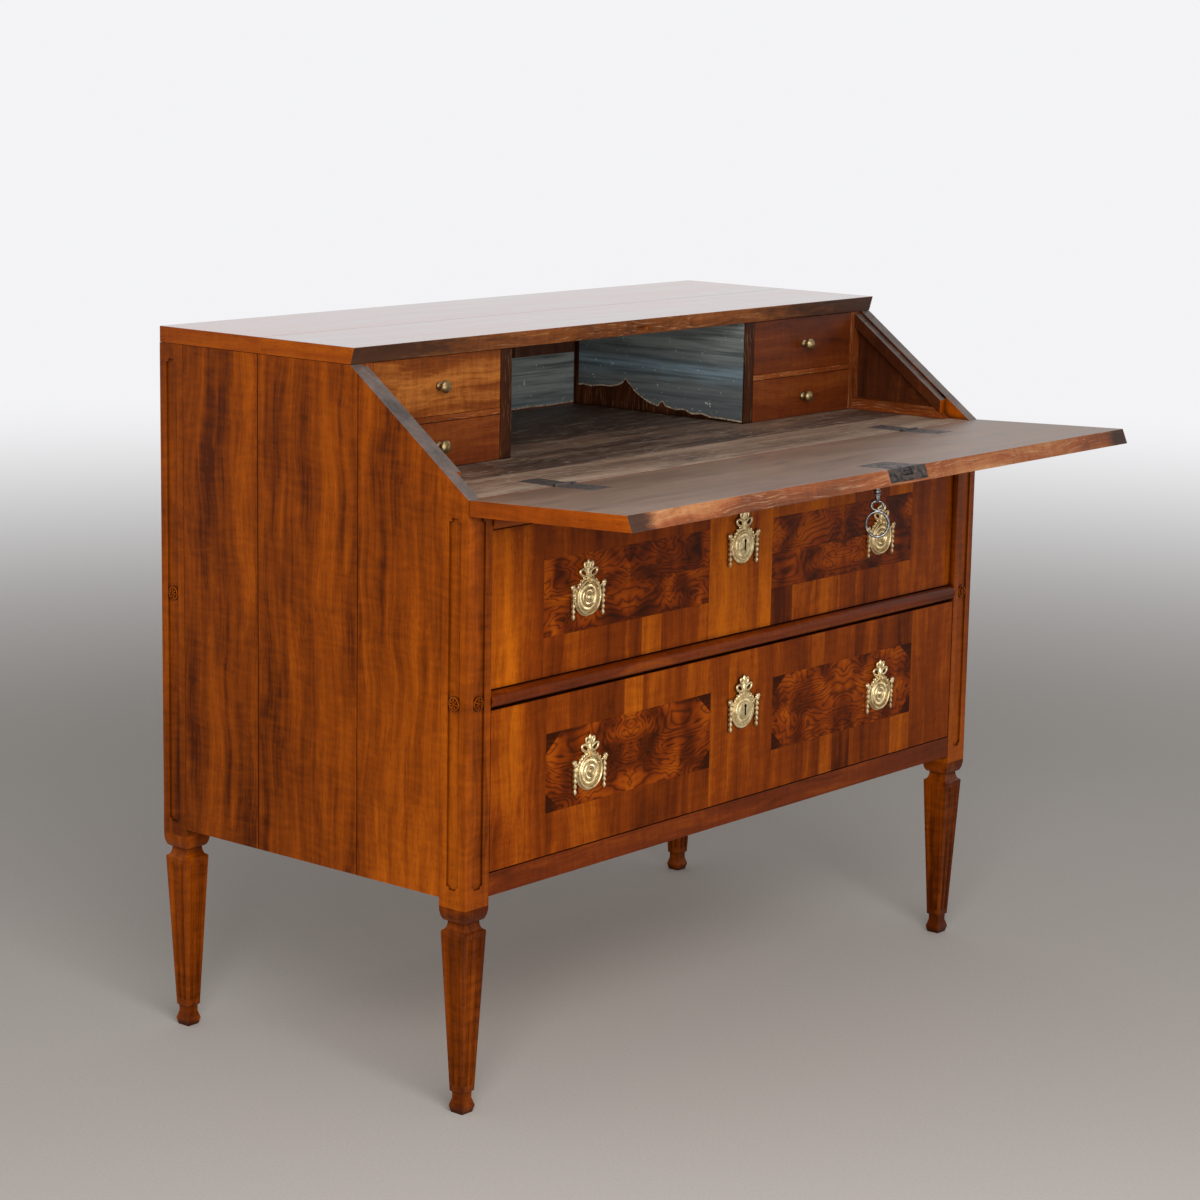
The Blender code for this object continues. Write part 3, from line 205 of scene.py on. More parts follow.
def placed(name, shape, materials, body, slot, *nodes):
    """Makes a piece of a finished shape and hangs it on its body, in place of the plain solids."""
    bmesh.ops.recalc_face_normals(shape, faces=shape.faces)
    mesh = bpy.data.meshes.new(name)
    shape.to_mesh(mesh)
    shape.free()
    for material in materials:
        mesh.materials.append(material)
    mesh.shade_smooth()
    mesh.set_sharp_from_angle(angle=SMOOTH_ANGLE)
    piece = bpy.data.objects.new(name, mesh)
    bpy.context.scene.collection.objects.link(piece)
    piece.modifiers.new("even_normals", "WEIGHTED_NORMAL").keep_sharp = True
    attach(piece, body)
    if nodes:
        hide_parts(*nodes)
    return piece


def bead(shape, place, steps=8):
    """Adds a round bead: a unit ball, placed and stretched by a matrix."""
    bmesh.ops.create_uvsphere(shape, u_segments=steps, v_segments=steps // 2 + 1, radius=1.0, matrix=place)


def petals(shape, place, count, reach, size):
    """Adds a ring of petals round a point; the petals stand out along the place's own Z."""
    for n in range(count):
        turn = Matrix.Rotation(2 * math.pi * n / count, 4, "Z")
        bead(shape, place @ turn @ Matrix.Translation((reach, 0.0, 0.0)) @ Matrix.Diagonal((*size, 1.0)))


ROSETTE = (7, 4.6 * MM, (2.3 * MM, 1.5 * MM, 1.3 * MM))
FRONT_ROSETTE_Z = 534 * MM
REAR_ROSETTE_Z = 604.75 * MM
LEG_TOP = 283 * MM
SLOPE_FOOT = 760 * MM
LEG_TONES = (-0.14, -0.14, -0.05, -0.05)
QUARTER = math.pi / 2
# Walnut, scraped and French polished: warm, with a soft gloss, and dark polish left in the carving;
# its hollows are darkened further with painted shade.
carved_walnut = timber(
    "french_polished_carved_walnut", WALNUT_TONES, "Z", contrast=0.14, ripple=0.16, grime=OLD_POLISH_AND_SHADE,
)
# Along the slope the polish is rubbed through and grey with dust.
rubbed_slope = timber(
    "rubbed_walnut_slope", ("#2c211c", "#5f4f47", "#84766d"), "Z", gloss=0.4, shine=0.4, polished=False,
)
for n, name in enumerate(("front_left", "front_right", "rear_left", "rear_right")):
    shape = rounded(solid_of(f"{name}_post"), POST_EASE)
    low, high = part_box(f"{name}_post")
    middle = (low + high) / 2
    side = -1 if middle.x < 0 else 1
    level = FRONT_ROSETTE_Z if "front" in name else REAR_ROSETTE_Z
    face = Matrix.Translation((low.x if side < 0 else high.x, middle.y, level))
    petals(shape, face @ Matrix.Rotation(QUARTER * side, 4, "Y"), *ROSETTE)
    if "front" in name:
        face = Matrix.Translation((middle.x, low.y, level))
        petals(shape, face @ Matrix.Rotation(QUARTER, 4, "X"), *ROSETTE)
    grained(shape, -0.01, (n * 0.31, n * 0.17, n * 0.53))
    leg = [face for face in shape.faces if face.calc_center_median().z < LEG_TOP]
    grained(shape, LEG_TONES[n], (n * 0.31, n * 0.17, n * 0.23), leg)
    for face in shape.faces:
        if face.normal.y < -0.3 and face.normal.z > 0.3 and face.calc_center_median().z > SLOPE_FOOT:
            face.material_index = 1
    placed(f"{name}_post_and_leg", shape, [carved_walnut, rubbed_slope], "case", "walnut", f"{name}_post")


# Side panels. Each is three walnut boards, glued edge to edge with the grain upright and flush with
# the posts, with a lath on its inner face along the slope. The joints have opened a hair over time.
SIDE_JOINTS = (40 * MM, 220 * MM)
SIDE_TONES = (-0.01, -0.015, -0.03)
BOARD_EASE = 0.4 * MM
SEAM_EASE = 0.7 * MM
OPEN_JOINT = 0.12 * MM
TIGHT_JOINT = 0.08 * MM
FAR = 9.0
ON_LINE = 0.3 * MM


def boards_of(node, axis, joints, gap):
    """The boards that a panel is glued up from: its solid, sawn at the joints."""
    n = "XYZ".index(axis)
    edges = (-FAR, *joints, FAR)
    boards = []
    for near, far in zip(edges, edges[1:]):
        shape = solid_of(node)
        for place, outward in ((near + gap / 2, -1.0), (far - gap / 2, 1.0)):
            spot, normal = Vector(), Vector()
            spot[n], normal[n] = place, outward
            everything = shape.verts[:] + shape.edges[:] + shape.faces[:]
            sawn = bmesh.ops.bisect_plane(
                shape, geom=everything, plane_co=spot, plane_no=normal, clear_outer=True,
            )
            rim = [part for part in sawn["geom_cut"] if isinstance(part, bmesh.types.BMEdge)]
            if rim:
                bmesh.ops.holes_fill(shape, edges=rim)
        boards.append(shape)
    return boards


def arris(shape, line, width, material):
    """Takes off an arris of a board, along a line given by two of its coordinates."""
    edges = []
    for edge in shape.edges:
        gaps = [abs(getattr(v.co, axis) - value) for v in edge.verts for axis, value in line.items()]
        if max(gaps) < ON_LINE:
            edges.append(edge)
    bmesh.ops.bevel(
        shape, geom=edges, offset=width, offset_type="OFFSET", segments=1, profile=0.5,
        affect="EDGES", clamp_overlap=True, material=material,
    )
    return shape


# The same polished walnut on broad boards: wider streaks, and light and dark boards side by side.
# Painted shade darkens it in its joints and hollows and beside other parts.
side_walnut = timber(
    "french_polished_walnut_boards", WALNUT_TONES, "Z", contrast=0.105, ripple=0.10, grime=OLD_POLISH_AND_SHADE,
)
# The inner faces were never polished: the wood there is dark, dry and dusty.
bare_walnut = timber("sawn_unpolished_walnut", ("#23100a", "#45200f", "#6e3a1b"), "Z", gloss=0.6, shine=0.2)
# Dirt and wax have filled the open joints.
joint_dirt = timber("dirt_filled_joint", ("#1c0a03", "#2e1104", "#471c06"), "Z", gloss=0.5)
for name, side in (("left", -1), ("right", 1)):
    low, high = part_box(f"{name}_side_panel")
    outside = low.x if side < 0 else high.x
    for n, shape in enumerate(boards_of(f"{name}_side_panel", "Y", SIDE_JOINTS, OPEN_JOINT)):
        for face in shape.faces:
            if face.normal.x * side < -0.9:
                face.material_index = 1
            elif face.normal.y < -0.3 and face.normal.z > 0.3:
                face.material_index = 2
        grained(shape, SIDE_TONES[n], (0.0, 0.21 * n * side, 0.37 * n))
        for joint in SIDE_JOINTS:
            arris(shape, {"x": outside, "y": joint}, SEAM_EASE, 3)
        materials = [side_walnut, bare_walnut, rubbed_slope, joint_dirt]
        piece = f"{name}_side_board_{n + 1}"
        placed(piece, rounded(shape, BOARD_EASE), materials, "case", "walnut", f"{name}_side_panel")


# Back, bottom and runners, of pine. The back is made of upright boards let in between the rear posts,
# the bottom carries the guides of the lower drawer, and the upper drawer slides on the runners.
BACK_JOINTS = (-310 * MM, -95 * MM, 120 * MM, 330 * MM)
BACK_TONES = (0.0, 0.04, -0.05, 0.02, -0.02)
PINE_TONES = ("#6d4520", "#a87645", "#caa06a")
PINE_STAIN = "#5c3a1c"
# Pine straight from the plane, gone brown with age: dull, with wide soft bands.
dry = {"gloss": 0.62, "shine": 0.2, "polished": False, "stain": PINE_STAIN}
upright_pine = timber("aged_planed_pine_upright", PINE_TONES, "Z", **dry)
cross_pine = timber("aged_planed_pine_across", PINE_TONES, "X", **dry)
# Inside the case the back's face is dark brown.
stained_pine = timber(
    "brown_stained_pine", ("#22110b", "#43251a", "#62402f"), "Z", gloss=0.6, shine=0.2, polished=False,
)
# Where a drawer rubs, the pine is burnished lighter along its length.
runner_pine = timber("rubbed_pine_runner", PINE_TONES, "Y", gloss=0.5, polished=False, rubs="#d8b684")
for n, shape in enumerate(boards_of("back_panel", "X", BACK_JOINTS, OPEN_JOINT)):
    grained(shape, BACK_TONES[n], (0.23 * n, 0.0, 0.41 * n))
    for face in shape.faces:
        face.material_index = 1 if face.normal.y < -0.9 else 0
    materials = [upright_pine, stained_pine]
    placed(f"back_board_{n + 1}", rounded(shape, BOARD_EASE), materials, "case", "pine", "back_panel")
runners = (("left_upper_runner", runner_pine), ("right_upper_runner", runner_pine))
for node, material in (("bottom_board", cross_pine), *runners):
    shape = grained(rounded(solid_of(node), BOARD_EASE), 0.0, (0.1, 0.2, 0.3))
    placed(f"{node}_planed", shape, [material], "case", "pine", node)


# Rails across the front, of red-brown walnut: a flat apron below, and two rails with a half-round nose
# that divide the drawers and carry the bed. They are housed between the posts.
RAIL_EASE = 0.8 * MM
RAILS = {"apron_rail": 0.0, "divider_rail": 0.0, "bed_rail": 0.02}
# Walnut stained darker than the boards and polished, with the grain along the rail. Painted shade
# darkens it where other parts stand close.
rail_walnut = timber(
    "stained_polished_walnut_rail", ("#361203", "#6a2906", "#96470a"), "X", shine=0.3, grime="#150601",
)
for n, (name, tone) in enumerate(RAILS.items()):
    shape = grained(rounded(solid_of(name), RAIL_EASE), tone, (0.5 * n, 0.3 * n, 0.2 * n))
    placed(f"{name}_polished", shape, [rail_walnut], "case", "dark_walnut", name)


# Bed of the writing surface: three boards along the case, bare and worn grey by use at the front,
# stained with ink, and darker inside the gallery where no hand reaches.
BED_JOINTS = (-40 * MM, 160 * MM)
BED_TONES = (0.05, -0.08, -0.22)
BED_ARRIS = 1.5 * MM
# Walnut rubbed bare by sleeves and scrubbed: grey, dull, streaked, with old ink in the grain.
worn_walnut = timber(
    "rubbed_bare_walnut", ("#3d2a1f", "#7c604b", "#ab9078"), "X", gloss=0.5, shine=0.4, contrast=0.11,
    polished=False, stain="#33241c", rubs="#d8c7b2",
)
hinge_y, hinge_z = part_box("bed_board")[0].y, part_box("bed_board")[1].z
for n, shape in enumerate(boards_of("bed_board", "Y", BED_JOINTS, OPEN_JOINT)):
    grained(shape, BED_TONES[n], (0.3 * n, 0.0, 0.7 * n))
    for face in shape.faces:
        face.material_index = 1 if face.normal.y < -0.9 else 0
    if n == 0:
        arris(shape, {"y": hinge_y, "z": hinge_z}, BED_ARRIS, 1)
    materials = [worn_walnut, rail_walnut]
    placed(f"bed_plank_{n + 1}", rounded(shape, BOARD_EASE), materials, "case", "worn_walnut", "bed_board")


# Gallery: two partitions between an open compartment and the small drawers, with thin shelves, end
# stiles and foot strips, all of walnut, housed in the bed and the top. The edges are rubbed pale.
GALLERY_EASE = 0.7 * MM
# Walnut under old wax: near black where it was never rubbed, brown where hands reach. Painted shade
# darkens its corners and hollows.
dark_wax = timber(
    "old_dark_waxed_walnut", ("#190a04", "#33180b", "#582c13"), "Z", gloss=0.45,
    rubs="#7a5638", grime="#140804",
)
WAXED_TONES = ("#3f1a08", "#743614", "#9c5725")
# The thin parts are handled more: brown, with rubbed streaks, each with the grain along its length.
handled = {"gloss": 0.42, "rubs": "#a8825a"}
upright_wax = timber("waxed_walnut_upright", WAXED_TONES, "Z", **handled)
cross_wax = timber("waxed_walnut_across", WAXED_TONES, "X", **handled)
deep_wax = timber("waxed_walnut_front_to_back", WAXED_TONES, "Y", **handled)
GALLERY = (
    ("partition", dark_wax, "dark_walnut"), ("end_stile", upright_wax, "walnut"),
    ("gallery_shelf", cross_wax, "walnut"), ("foot_strip", deep_wax, "walnut"),
)
for m, side in enumerate(("left", "right")):
    for n, (name, material, slot) in enumerate(GALLERY):
        shape = rounded(solid_of(f"{side}_{name}"), GALLERY_EASE)
        grained(shape, 0.0, (0.2 * n, 0.4 * n, 0.3 * n + 0.4 * m))
        placed(f"{side}_{name}_waxed", shape, [material], "case", slot, f"{side}_{name}")


# Lining of the compartment: thick blue-grey paper, pasted on its back and sides. On the right it has
# come away along the foot, and its torn edge shows pale over the bare wood.
PAPER = 0.45 * MM
PASTE = 0.1 * MM
TORN_WIDTH = 2.2 * MM
REAR_INSET = 0.3 * MM
HEAD_INSET = 0.4 * MM
PAPER_FOOT = 793 * MM
BACK_PAPER_TOP = 870 * MM


def coat_of(name, rough, metal):
    """A new material with its colour still to come: its node tree, its shader and its coordinates."""
    material = bpy.data.materials.new(name)
    material.use_nodes = True
    tree = material.node_tree
    shader = tree.nodes["Principled BSDF"]
    shader.inputs["Roughness"].default_value = rough
    shader.inputs["Metallic"].default_value = metal
    return material, tree, shader, add(tree, "TexCoord", {}, {}).outputs["Object"]



# Paper painted with distemper: dead matt, brushed in level streaks, scratched white.
paper, tree, shader, spot = coat_of("distempered_paper_lining", 0.85, 0.0)
height = add(tree, "SeparateXYZ", {}, {0: spot}).outputs["Z"]
waver = add(tree, "TexNoise", {}, {"Vector": spot, "Scale": 1 / (60 * MM), "Detail": 3.0})
settings = {0: waver.outputs["Fac"], 1: 24 * MM, 2: height}
height = add(tree, "Math", {"operation": "MULTIPLY_ADD"}, settings).outputs[0]
limits = {"Value": height, "From Min": 800 * MM, "From Max": 955 * MM}
height = add(tree, "MapRange", {"clamp": False}, limits).outputs["Result"]
tone = add(tree, "Attribute", {"attribute_name": "tone"}, {}).outputs["Fac"]
height = add(tree, "Math", {"operation": "ADD"}, {0: height, 1: tone}).outputs[0]
stops = ((0.06, "#454a4a"), (0.95, "#8b918c"), (0.34, "#5b605f"), (0.48, "#6c8089"))
stops += ((0.57, "#5e6666"), (0.70, "#7a817d"))
colour = add(tree, "ValToRGB", {"stops": stops}, {"Fac": height}).outputs["Color"]
streaks = grain_noise(tree, spot, "XY", 5, 150, 5.0)
colour = blended(tree, colour, streaks, 0.42, 0.66, 0.75, "#33393a")
settings = {"Vector": spot, "Scale": 1 / (9 * MM), "Detail": 8.0, "Distortion": 1.5}
scratches = add(tree, "TexNoise", {}, settings).outputs["Fac"]
colour = blended(tree, colour, scratches, 0.66, 0.74, 0.7, "#cdd4d1")
tree.links.new(colour, shader.inputs["Base Color"])
bump = add(tree, "Bump", {}, {"Strength": 0.3, "Distance": MM, "Height": streaks})
tree.links.new(bump.outputs[0], shader.inputs["Normal"])
# Where the paper tore, its pale core and the paste show.
torn, tree, shader, spot = coat_of("torn_paper_edge", 0.9, 0.0)
stops = ((0.35, "#5d4a3a"), (0.65, "#b09b84"))
fibres = add(tree, "TexNoise", {}, {"Vector": spot, "Scale": 1 / (3 * MM), "Detail": 4.0})
colour = add(tree, "ValToRGB", {"stops": stops}, {"Fac": fibres.outputs["Fac"]})
tree.links.new(colour.outputs["Color"], shader.inputs["Base Color"])


def lining(name, corner, run, out, foot_line, top, tone):
    """Pastes a sheet on a wall: from a corner along run, with its foot at the heights of a line."""
    shape = blank()
    rows = []
    for reach, foot in foot_line:
        heights = (foot, foot + TORN_WIDTH, top)
        spots = [corner + run * reach + out * off for off in (PASTE, PASTE + PAPER)]
        rows.append([[shape.verts.new((spot.x, spot.y, z)) for z in heights] for spot in spots])
    for row, after in zip(rows, rows[1:]):
        for (foot, fold, head), (next_foot, next_fold, next_head) in zip(row, after):
            shape.faces.new((foot, next_foot, next_fold, fold)).material_index = 1
            shape.faces.new((fold, next_fold, next_head, head))
        shape.faces.new((row[0][0], after[0][0], after[1][0], row[1][0])).material_index = 1
        shape.faces.new((row[0][2], after[0][2], after[1][2], row[1][2]))
    for back, front in (rows[0], rows[-1]):
        shape.faces.new((back[0], front[0], front[1], back[1]))
        shape.faces.new((back[1], front[1], front[2], back[2]))
    placed(name, grained(shape, tone, (0.0, 0.0, 0.0)), [paper, torn], "case", "dark_walnut")


# The tear, from the back corner forwards: how far along the wall, and how high, in mm.
TEAR = (
    (9, 820), (18, 822), (34, 820), (52, 823), (70, 823.5), (86, 826), (95, 831), (101, 838), (106, 832),
    (111, 829), (117, 822), (128, 815), (143, 807), (156, 803), (164, 802), (168, 807), (173, 809),
    (178, 803), (196, 800), (214, 801), (228, 796), (247, 798), (262, 795), (285, 794), (321, 793),
)
tear = [(reach * MM, (foot + 0.5 * math.sin(2.3 * reach)) * MM) for reach, foot in TEAR]
left_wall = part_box("left_partition")[1].x
low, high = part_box("right_partition")
right_wall, rear, head = low.x, high.y - REAR_INSET, high.z - HEAD_INSET
level = [(n * 20 * MM, PAPER_FOOT + 0.4 * MM * math.sin(18 * n)) for n in range(17)]
across = [(n * 25.2 * MM, PAPER_FOOT + 0.6 * MM * math.sin(17 * n)) for n in range(21)]
LEFTWARD, FORWARD = Vector((-1.0, 0.0, 0.0)), Vector((0.0, -1.0, 0.0))
lining("right_lining", Vector((right_wall, rear, 0.0)), FORWARD, LEFTWARD, tear, head, 0.0)
lining("left_lining", Vector((left_wall, rear, 0.0)), FORWARD, -LEFTWARD, level, head, 0.0)
corner = Vector((left_wall + 2 * MM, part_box("back_panel")[0].y, 0.0))
# The back sheet is a lighter copy of the side sheets' paper: painted light.
lining("back_lining", corner, -LEFTWARD, FORWARD, across, BACK_PAPER_TOP, 0.5)


# Top: two walnut boards with the grain along the case, glued edge to edge and pegged to the sides. Its
# face is polished bright; the front edge, where the fall shuts against it, is knocked and dirty.
TOP_JOINTS = (215 * MM,)
TOP_EASE = 0.8 * MM
# The top was polished most: a deep, wet gloss that mirrors the room at a low angle.
top_walnut = timber("high_polished_walnut_top", WALNUT_TONES, "X", gloss=0.2, shine=0.4, coat=0.76)
# The ends of the boards, filled and polished with the rest.
end_walnut = timber("polished_walnut_end", ("#5a2404", "#944208", "#b65c10"), "Y", shine=0.3)
# Polish is knocked off the front edge: brown wood in the middle, black with dirt at the ends.
knocked_edge = timber(
    "knocked_walnut_edge", ("#3a1c0e", "#8a4c22", "#b57a48"), "X", gloss=0.45, contrast=0.12,
    polished=False, stain="#3a2318", rubs="#c0946a", ends=("#382218", 0.20, 0.45),
)
for n, shape in enumerate(boards_of("top_board", "Y", TOP_JOINTS, TIGHT_JOINT)):
    grained(shape, 0.03 * n, (0.4 * n, 0.1 * n, 0.0))
    for face in shape.faces:
        if abs(face.normal.x) > 0.9:
            face.material_index = 1
        elif face.normal.y < -0.4 and n == 0:
            face.material_index = 2
    materials = [top_walnut, end_walnut, knocked_edge]
    placed(f"top_board_{n + 1}", rounded(shape, TOP_EASE), materials, "case", "walnut", "top_board")


# Fall: one wide walnut board, hinged to the bed; it opens level and shuts up the slope. Its inner face
# is bare and rubbed, its outer face and ends are polished, and its free edge is worn to the wood.
FALL_EASE = 0.9 * MM
FREE_EDGE_Y = -0.35
FALL_ARRIS = 4 * MM
# The writing face: polish rubbed to a dull grey-brown sheen, with soft long streaks and stains.
writing_face = timber(
    "rubbed_walnut_writing_face", ("#4c3426", "#88674f", "#ab8d76"), "X", gloss=0.37, shine=0.5,
    contrast=0.24, polished=False, stain="#5a4436",
)
# No sleeve rubs the outer face, so it keeps its polish and its gloss.
outer_face = timber("french_polished_walnut_fall", WALNUT_TONES, "X", shine=0.3)
# The free edge has lost its polish: reddish bare wood with pale scrapes, dirty at both ends.
free_edge = timber(
    "scraped_walnut_edge", ("#421d0c", "#93502a", "#c08a5a"), "X", gloss=0.55, contrast=0.14,
    polished=False, stain="#5a2f1a", rubs="#c39c78", ends=("#2b1c16", 0.505, 0.53),
)
shape = grained(solid_of("fall_board"), 0.0, (0.6, 0.2, 0.1))
for face in shape.faces:
    if abs(face.normal.x) > 0.9:
        face.material_index = 2
    elif face.normal.y < -0.3 and face.calc_center_median().y < FREE_EDGE_Y:
        face.material_index = 3
    elif face.normal.z < 0.9:
        face.material_index = 1
arris(shape, {"y": hinge_y, "z": hinge_z}, FALL_ARRIS, 1)
materials = [writing_face, outer_face, end_walnut, free_edge]
placed("fall_board_worn", rounded(shape, FALL_EASE), materials, "fall", "walnut", "fall_board")


# Hinges and lock of the fall: filed iron, let in flush. The lock's case shows in the inner face and
# its edge plate in the free edge; the bolt slides out through the plate.
IRON_EASE = 0.35 * MM
# Iron filed by hand and long oxidised: nearly black, with brown rust and rubbed bright spots.
# Painted shade turns it black in its hollows and down the keyholes.
iron, tree, shader, spot = coat_of("oxidised_filed_iron", 0.5, 0.75)
settings = {"Vector": spot, "Scale": 1 / (7 * MM), "Detail": 5.0}
patches = add(tree, "TexNoise", {}, settings).outputs["Fac"]
stops = ((0.36, "#2a2422"), (0.72, "#77726e"), (0.5, "#4a4644"), (0.62, "#5c4436"))
colour = add(tree, "ValToRGB", {"stops": stops}, {"Fac": patches}).outputs["Color"]
settings = {"samples": 6, "only_local": True}
occlusion_shade = add(tree, "AmbientOcclusion", settings, {"Distance": 6 * MM}).outputs["AO"]
colour = blended(tree, colour, occlusion_shade, 0.7, 0.4, 1.0, "#060504")
tree.links.new(colour, shader.inputs["Base Color"])
limits = {"Value": patches, "From Min": 0.3, "From Max": 0.7, "To Min": 0.62, "To Max": 0.4}
tree.links.new(add(tree, "MapRange", {}, limits).outputs["Result"], shader.inputs["Roughness"])
settings = {"Vector": spot, "Scale": 1 / (1.5 * MM), "Detail": 3.0}
pits = add(tree, "TexNoise", {}, settings).outputs["Fac"]
bump = add(tree, "Bump", {}, {"Strength": 0.25, "Distance": 0.4 * MM, "Height": pits})
tree.links.new(bump.outputs[0], shader.inputs["Normal"])
IRON_PIECES = (
    ("left_hinge_case_leaf", "case"), ("right_hinge_case_leaf", "case"), ("left_hinge_fall_leaf", "fall"),
    ("right_hinge_fall_leaf", "fall"), ("fall_lock", "fall"), ("fall_bolt", "bolt"),
)
for node, body in IRON_PIECES:
    placed(f"{node}_filed", rounded(solid_of(node), IRON_EASE), [iron], body, "iron", node)


# Key of the fall: steel, turned and filed, left in the lock under the open fall. Two collars sit on
# the shank, and below them hang a small loop and the large oval bow.
KEY_PLACE = Vector((0.012, -0.351117, 0.778986))
KEY_TILT = math.radians(-2.4)
KEY_TURN = math.radians(-50)
SHANK_LENGTH = 26 * MM
BOW_WIRE = 1.8 * MM
SMALL_BOW = (19 * MM, 16 * MM)
LARGE_BOW = (33.5 * MM, 37 * MM)


def profile_mm(*points):
    """A turned profile given in millimetres: a radius, a height and, if carved, a rib."""
    return [tuple(value * MM for value in point) for point in points]


def turned(shape, place, profile, sides, lobes=0, swell=0.0):
    """Adds a solid turned about Z, its ribs and lobes cut round it, and gives back its first ring."""
    rings = []
    for radius, height, *rib in profile:
        ring = []
        for n in range(sides):
            angle = 2 * math.pi * n / sides
            wave = math.cos(lobes * angle)
            reach = radius * (1 + swell * wave)
            lift = height + (rib[0] * wave if rib else 0.0)
            spot = Vector((reach * math.cos(angle), reach * math.sin(angle), lift))
            ring.append(shape.verts.new(place @ spot))
        rings.append(ring)
    for ring, after in zip(rings, rings[1:]):
        for n in range(sides):
            shape.faces.new((ring[n - 1], ring[n], after[n], after[n - 1]))
    shape.faces.new(rings[-1])
    return rings[0]


def hoop(shape, place, width, height, wire, steps=40, sides=12):
    """Adds an oval of round wire in the XZ plane; width and height are over the wire."""
    rings = []
    half_width, half_height = width / 2 - wire, height / 2 - wire
    for n in range(steps):
        angle = 2 * math.pi * n / steps
        spot = Vector((half_width * math.cos(angle), 0.0, half_height * math.sin(angle)))
        out = Vector((half_height * math.cos(angle), 0.0, half_width * math.sin(angle))).normalized()
        ring = []
        for m in range(sides):
            turn = 2 * math.pi * m / sides
            point = spot + wire * (out * math.cos(turn) + Vector((0.0, math.sin(turn), 0.0)))
            ring.append(shape.verts.new(place @ point))
        rings.append(ring)
    for n in range(steps):
        for m in range(sides):
            shape.faces.new((rings[n - 1][m - 1], rings[n - 1][m], rings[n][m], rings[n][m - 1]))


# Steel, filed smooth and bright from handling, with grey patches.
steel, tree, shader, spot = coat_of("handled_bright_steel", 0.3, 1.0)
settings = {"Vector": spot, "Scale": 1 / (5 * MM), "Detail": 4.0}
patches = add(tree, "TexNoise", {}, settings).outputs["Fac"]
colour = add(tree, "ValToRGB", {"stops": ((0.38, "#4c4a4a"), (0.6, "#8f8d8c"))}, {"Fac": patches})
tree.links.new(colour.outputs["Color"], shader.inputs["Base Color"])
limits = {"Value": patches, "From Min": 0.35, "From Max": 0.65, "To Min": 0.42, "To Max": 0.24}
tree.links.new(add(tree, "MapRange", {}, limits).outputs["Result"], shader.inputs["Roughness"])

shank = profile_mm(
    (0.1, 15), (3.2, 15), (3.2, -13), (4.3, -13.2), (4.8, -13.9), (4.8, -15.3), (4.3, -16), (3.2, -16.2),
    (3.2, -17.2), (4.3, -17.4), (4.8, -18.1), (4.8, -19.5), (4.3, -20.2), (3.2, -20.4), (3.2, -26),
    (2.2, -29.6), (0.1, -29.6),
)
turn = Matrix.Rotation(KEY_TILT, 4, "X") @ Matrix.Rotation(KEY_TURN, 4, "Z")
place = Matrix.Translation(KEY_PLACE) @ turn
shape = blank()
shape.faces.new(turned(shape, place, shank, 24))
hoop(shape, place @ Matrix.Translation((0.0, 0.0, -SHANK_LENGTH - SMALL_BOW[1] / 2)), *SMALL_BOW, BOW_WIRE)
bow_top = BOW_WIRE - SHANK_LENGTH - SMALL_BOW[1]
hoop(shape, place @ Matrix.Translation((0.0, 0.0, bow_top - LARGE_BOW[1] / 2)), *LARGE_BOW, BOW_WIRE, 56)
placed("fall_key_turned", shape, [steel], "key", "iron", "fall_key")


# Long drawers. Each front is a walnut board veneered in upright grain, patch by patch, round two panels
# of burr; behind it are a lapped pine tray and a pine bottom in grooves.
VENEER = 0.9 * MM
VENEER_GAP = 0.16 * MM
VENEER_EASE = 0.12 * MM
GLUE = 0.02 * MM
CANT_TONE = -0.22
PANEL_NEAR = 70 * MM
PANEL_FAR = 409 * MM
STILE_SPLIT = 450 * MM
TONE_STEP = 0.32


def prism(shape, outline, near, far):
    """Adds a flat piece to a shape: an outline of x and z, from one y to another."""
    rings = [[shape.verts.new((x, y, z)) for x, z in outline] for y in (near, far)]
    faces = [shape.faces.new(ring) for ring in rings]
    for n in range(len(outline)):
        faces.append(shape.faces.new((rings[0][n - 1], rings[0][n], rings[1][n], rings[1][n - 1])))
    return faces


def oblong(left, right, foot, head):
    """The outline of an oblong, its corners in order."""
    return [(left, foot), (right, foot), (right, head), (left, head)]


# Walnut veneer, sawn thick and polished: the same wood as the sides, but picked for lively colour.
# Painted shade darkens it where other parts stand proud of it.
veneer = timber(
    "polished_walnut_veneer", ("#461701", "#803604", "#b85e0a"), "Z", contrast=0.15, shine=0.12,
    grime="#150601",
)
# Burr walnut: dark contour lines that swirl round hidden knots, opened like a book at the middle.
burr, tree, shader, place = coat_of("book_matched_burr_walnut_veneer", 0.3, 0.0)
shift = add(tree, "Attribute", {"attribute_name": "shift"}, {}).outputs["Vector"]
tone = add(tree, "Attribute", {"attribute_name": "tone"}, {}).outputs["Fac"]
part = add(tree, "SeparateXYZ", {}, {0: place}).outputs
reach = add(tree, "Math", {"operation": "ABSOLUTE"}, {0: part["X"]}).outputs[0]
settings = {0: reach, 1: (PANEL_NEAR + PANEL_FAR) / 2}
reach = add(tree, "Math", {"operation": "SUBTRACT"}, settings).outputs[0]
reach = add(tree, "Math", {"operation": "ABSOLUTE"}, {0: reach}).outputs[0]
spot = add(tree, "CombineXYZ", {}, {"X": reach, "Z": part["Z"]}).outputs[0]
spot = add(tree, "VectorMath", {"operation": "ADD"}, {0: spot, 1: shift}).outputs[0]
scale = (1 / (92 * MM), 1.0, 1 / (48 * MM))
hills = add(tree, "Mapping", {}, {"Vector": spot, "Scale": scale}).outputs[0]
settings = {"Vector": hills, "Scale": 1.0, "Detail": 2.6, "Roughness": 0.5, "Distortion": 0.7}
hills = add(tree, "TexNoise", {}, settings).outputs["Fac"]
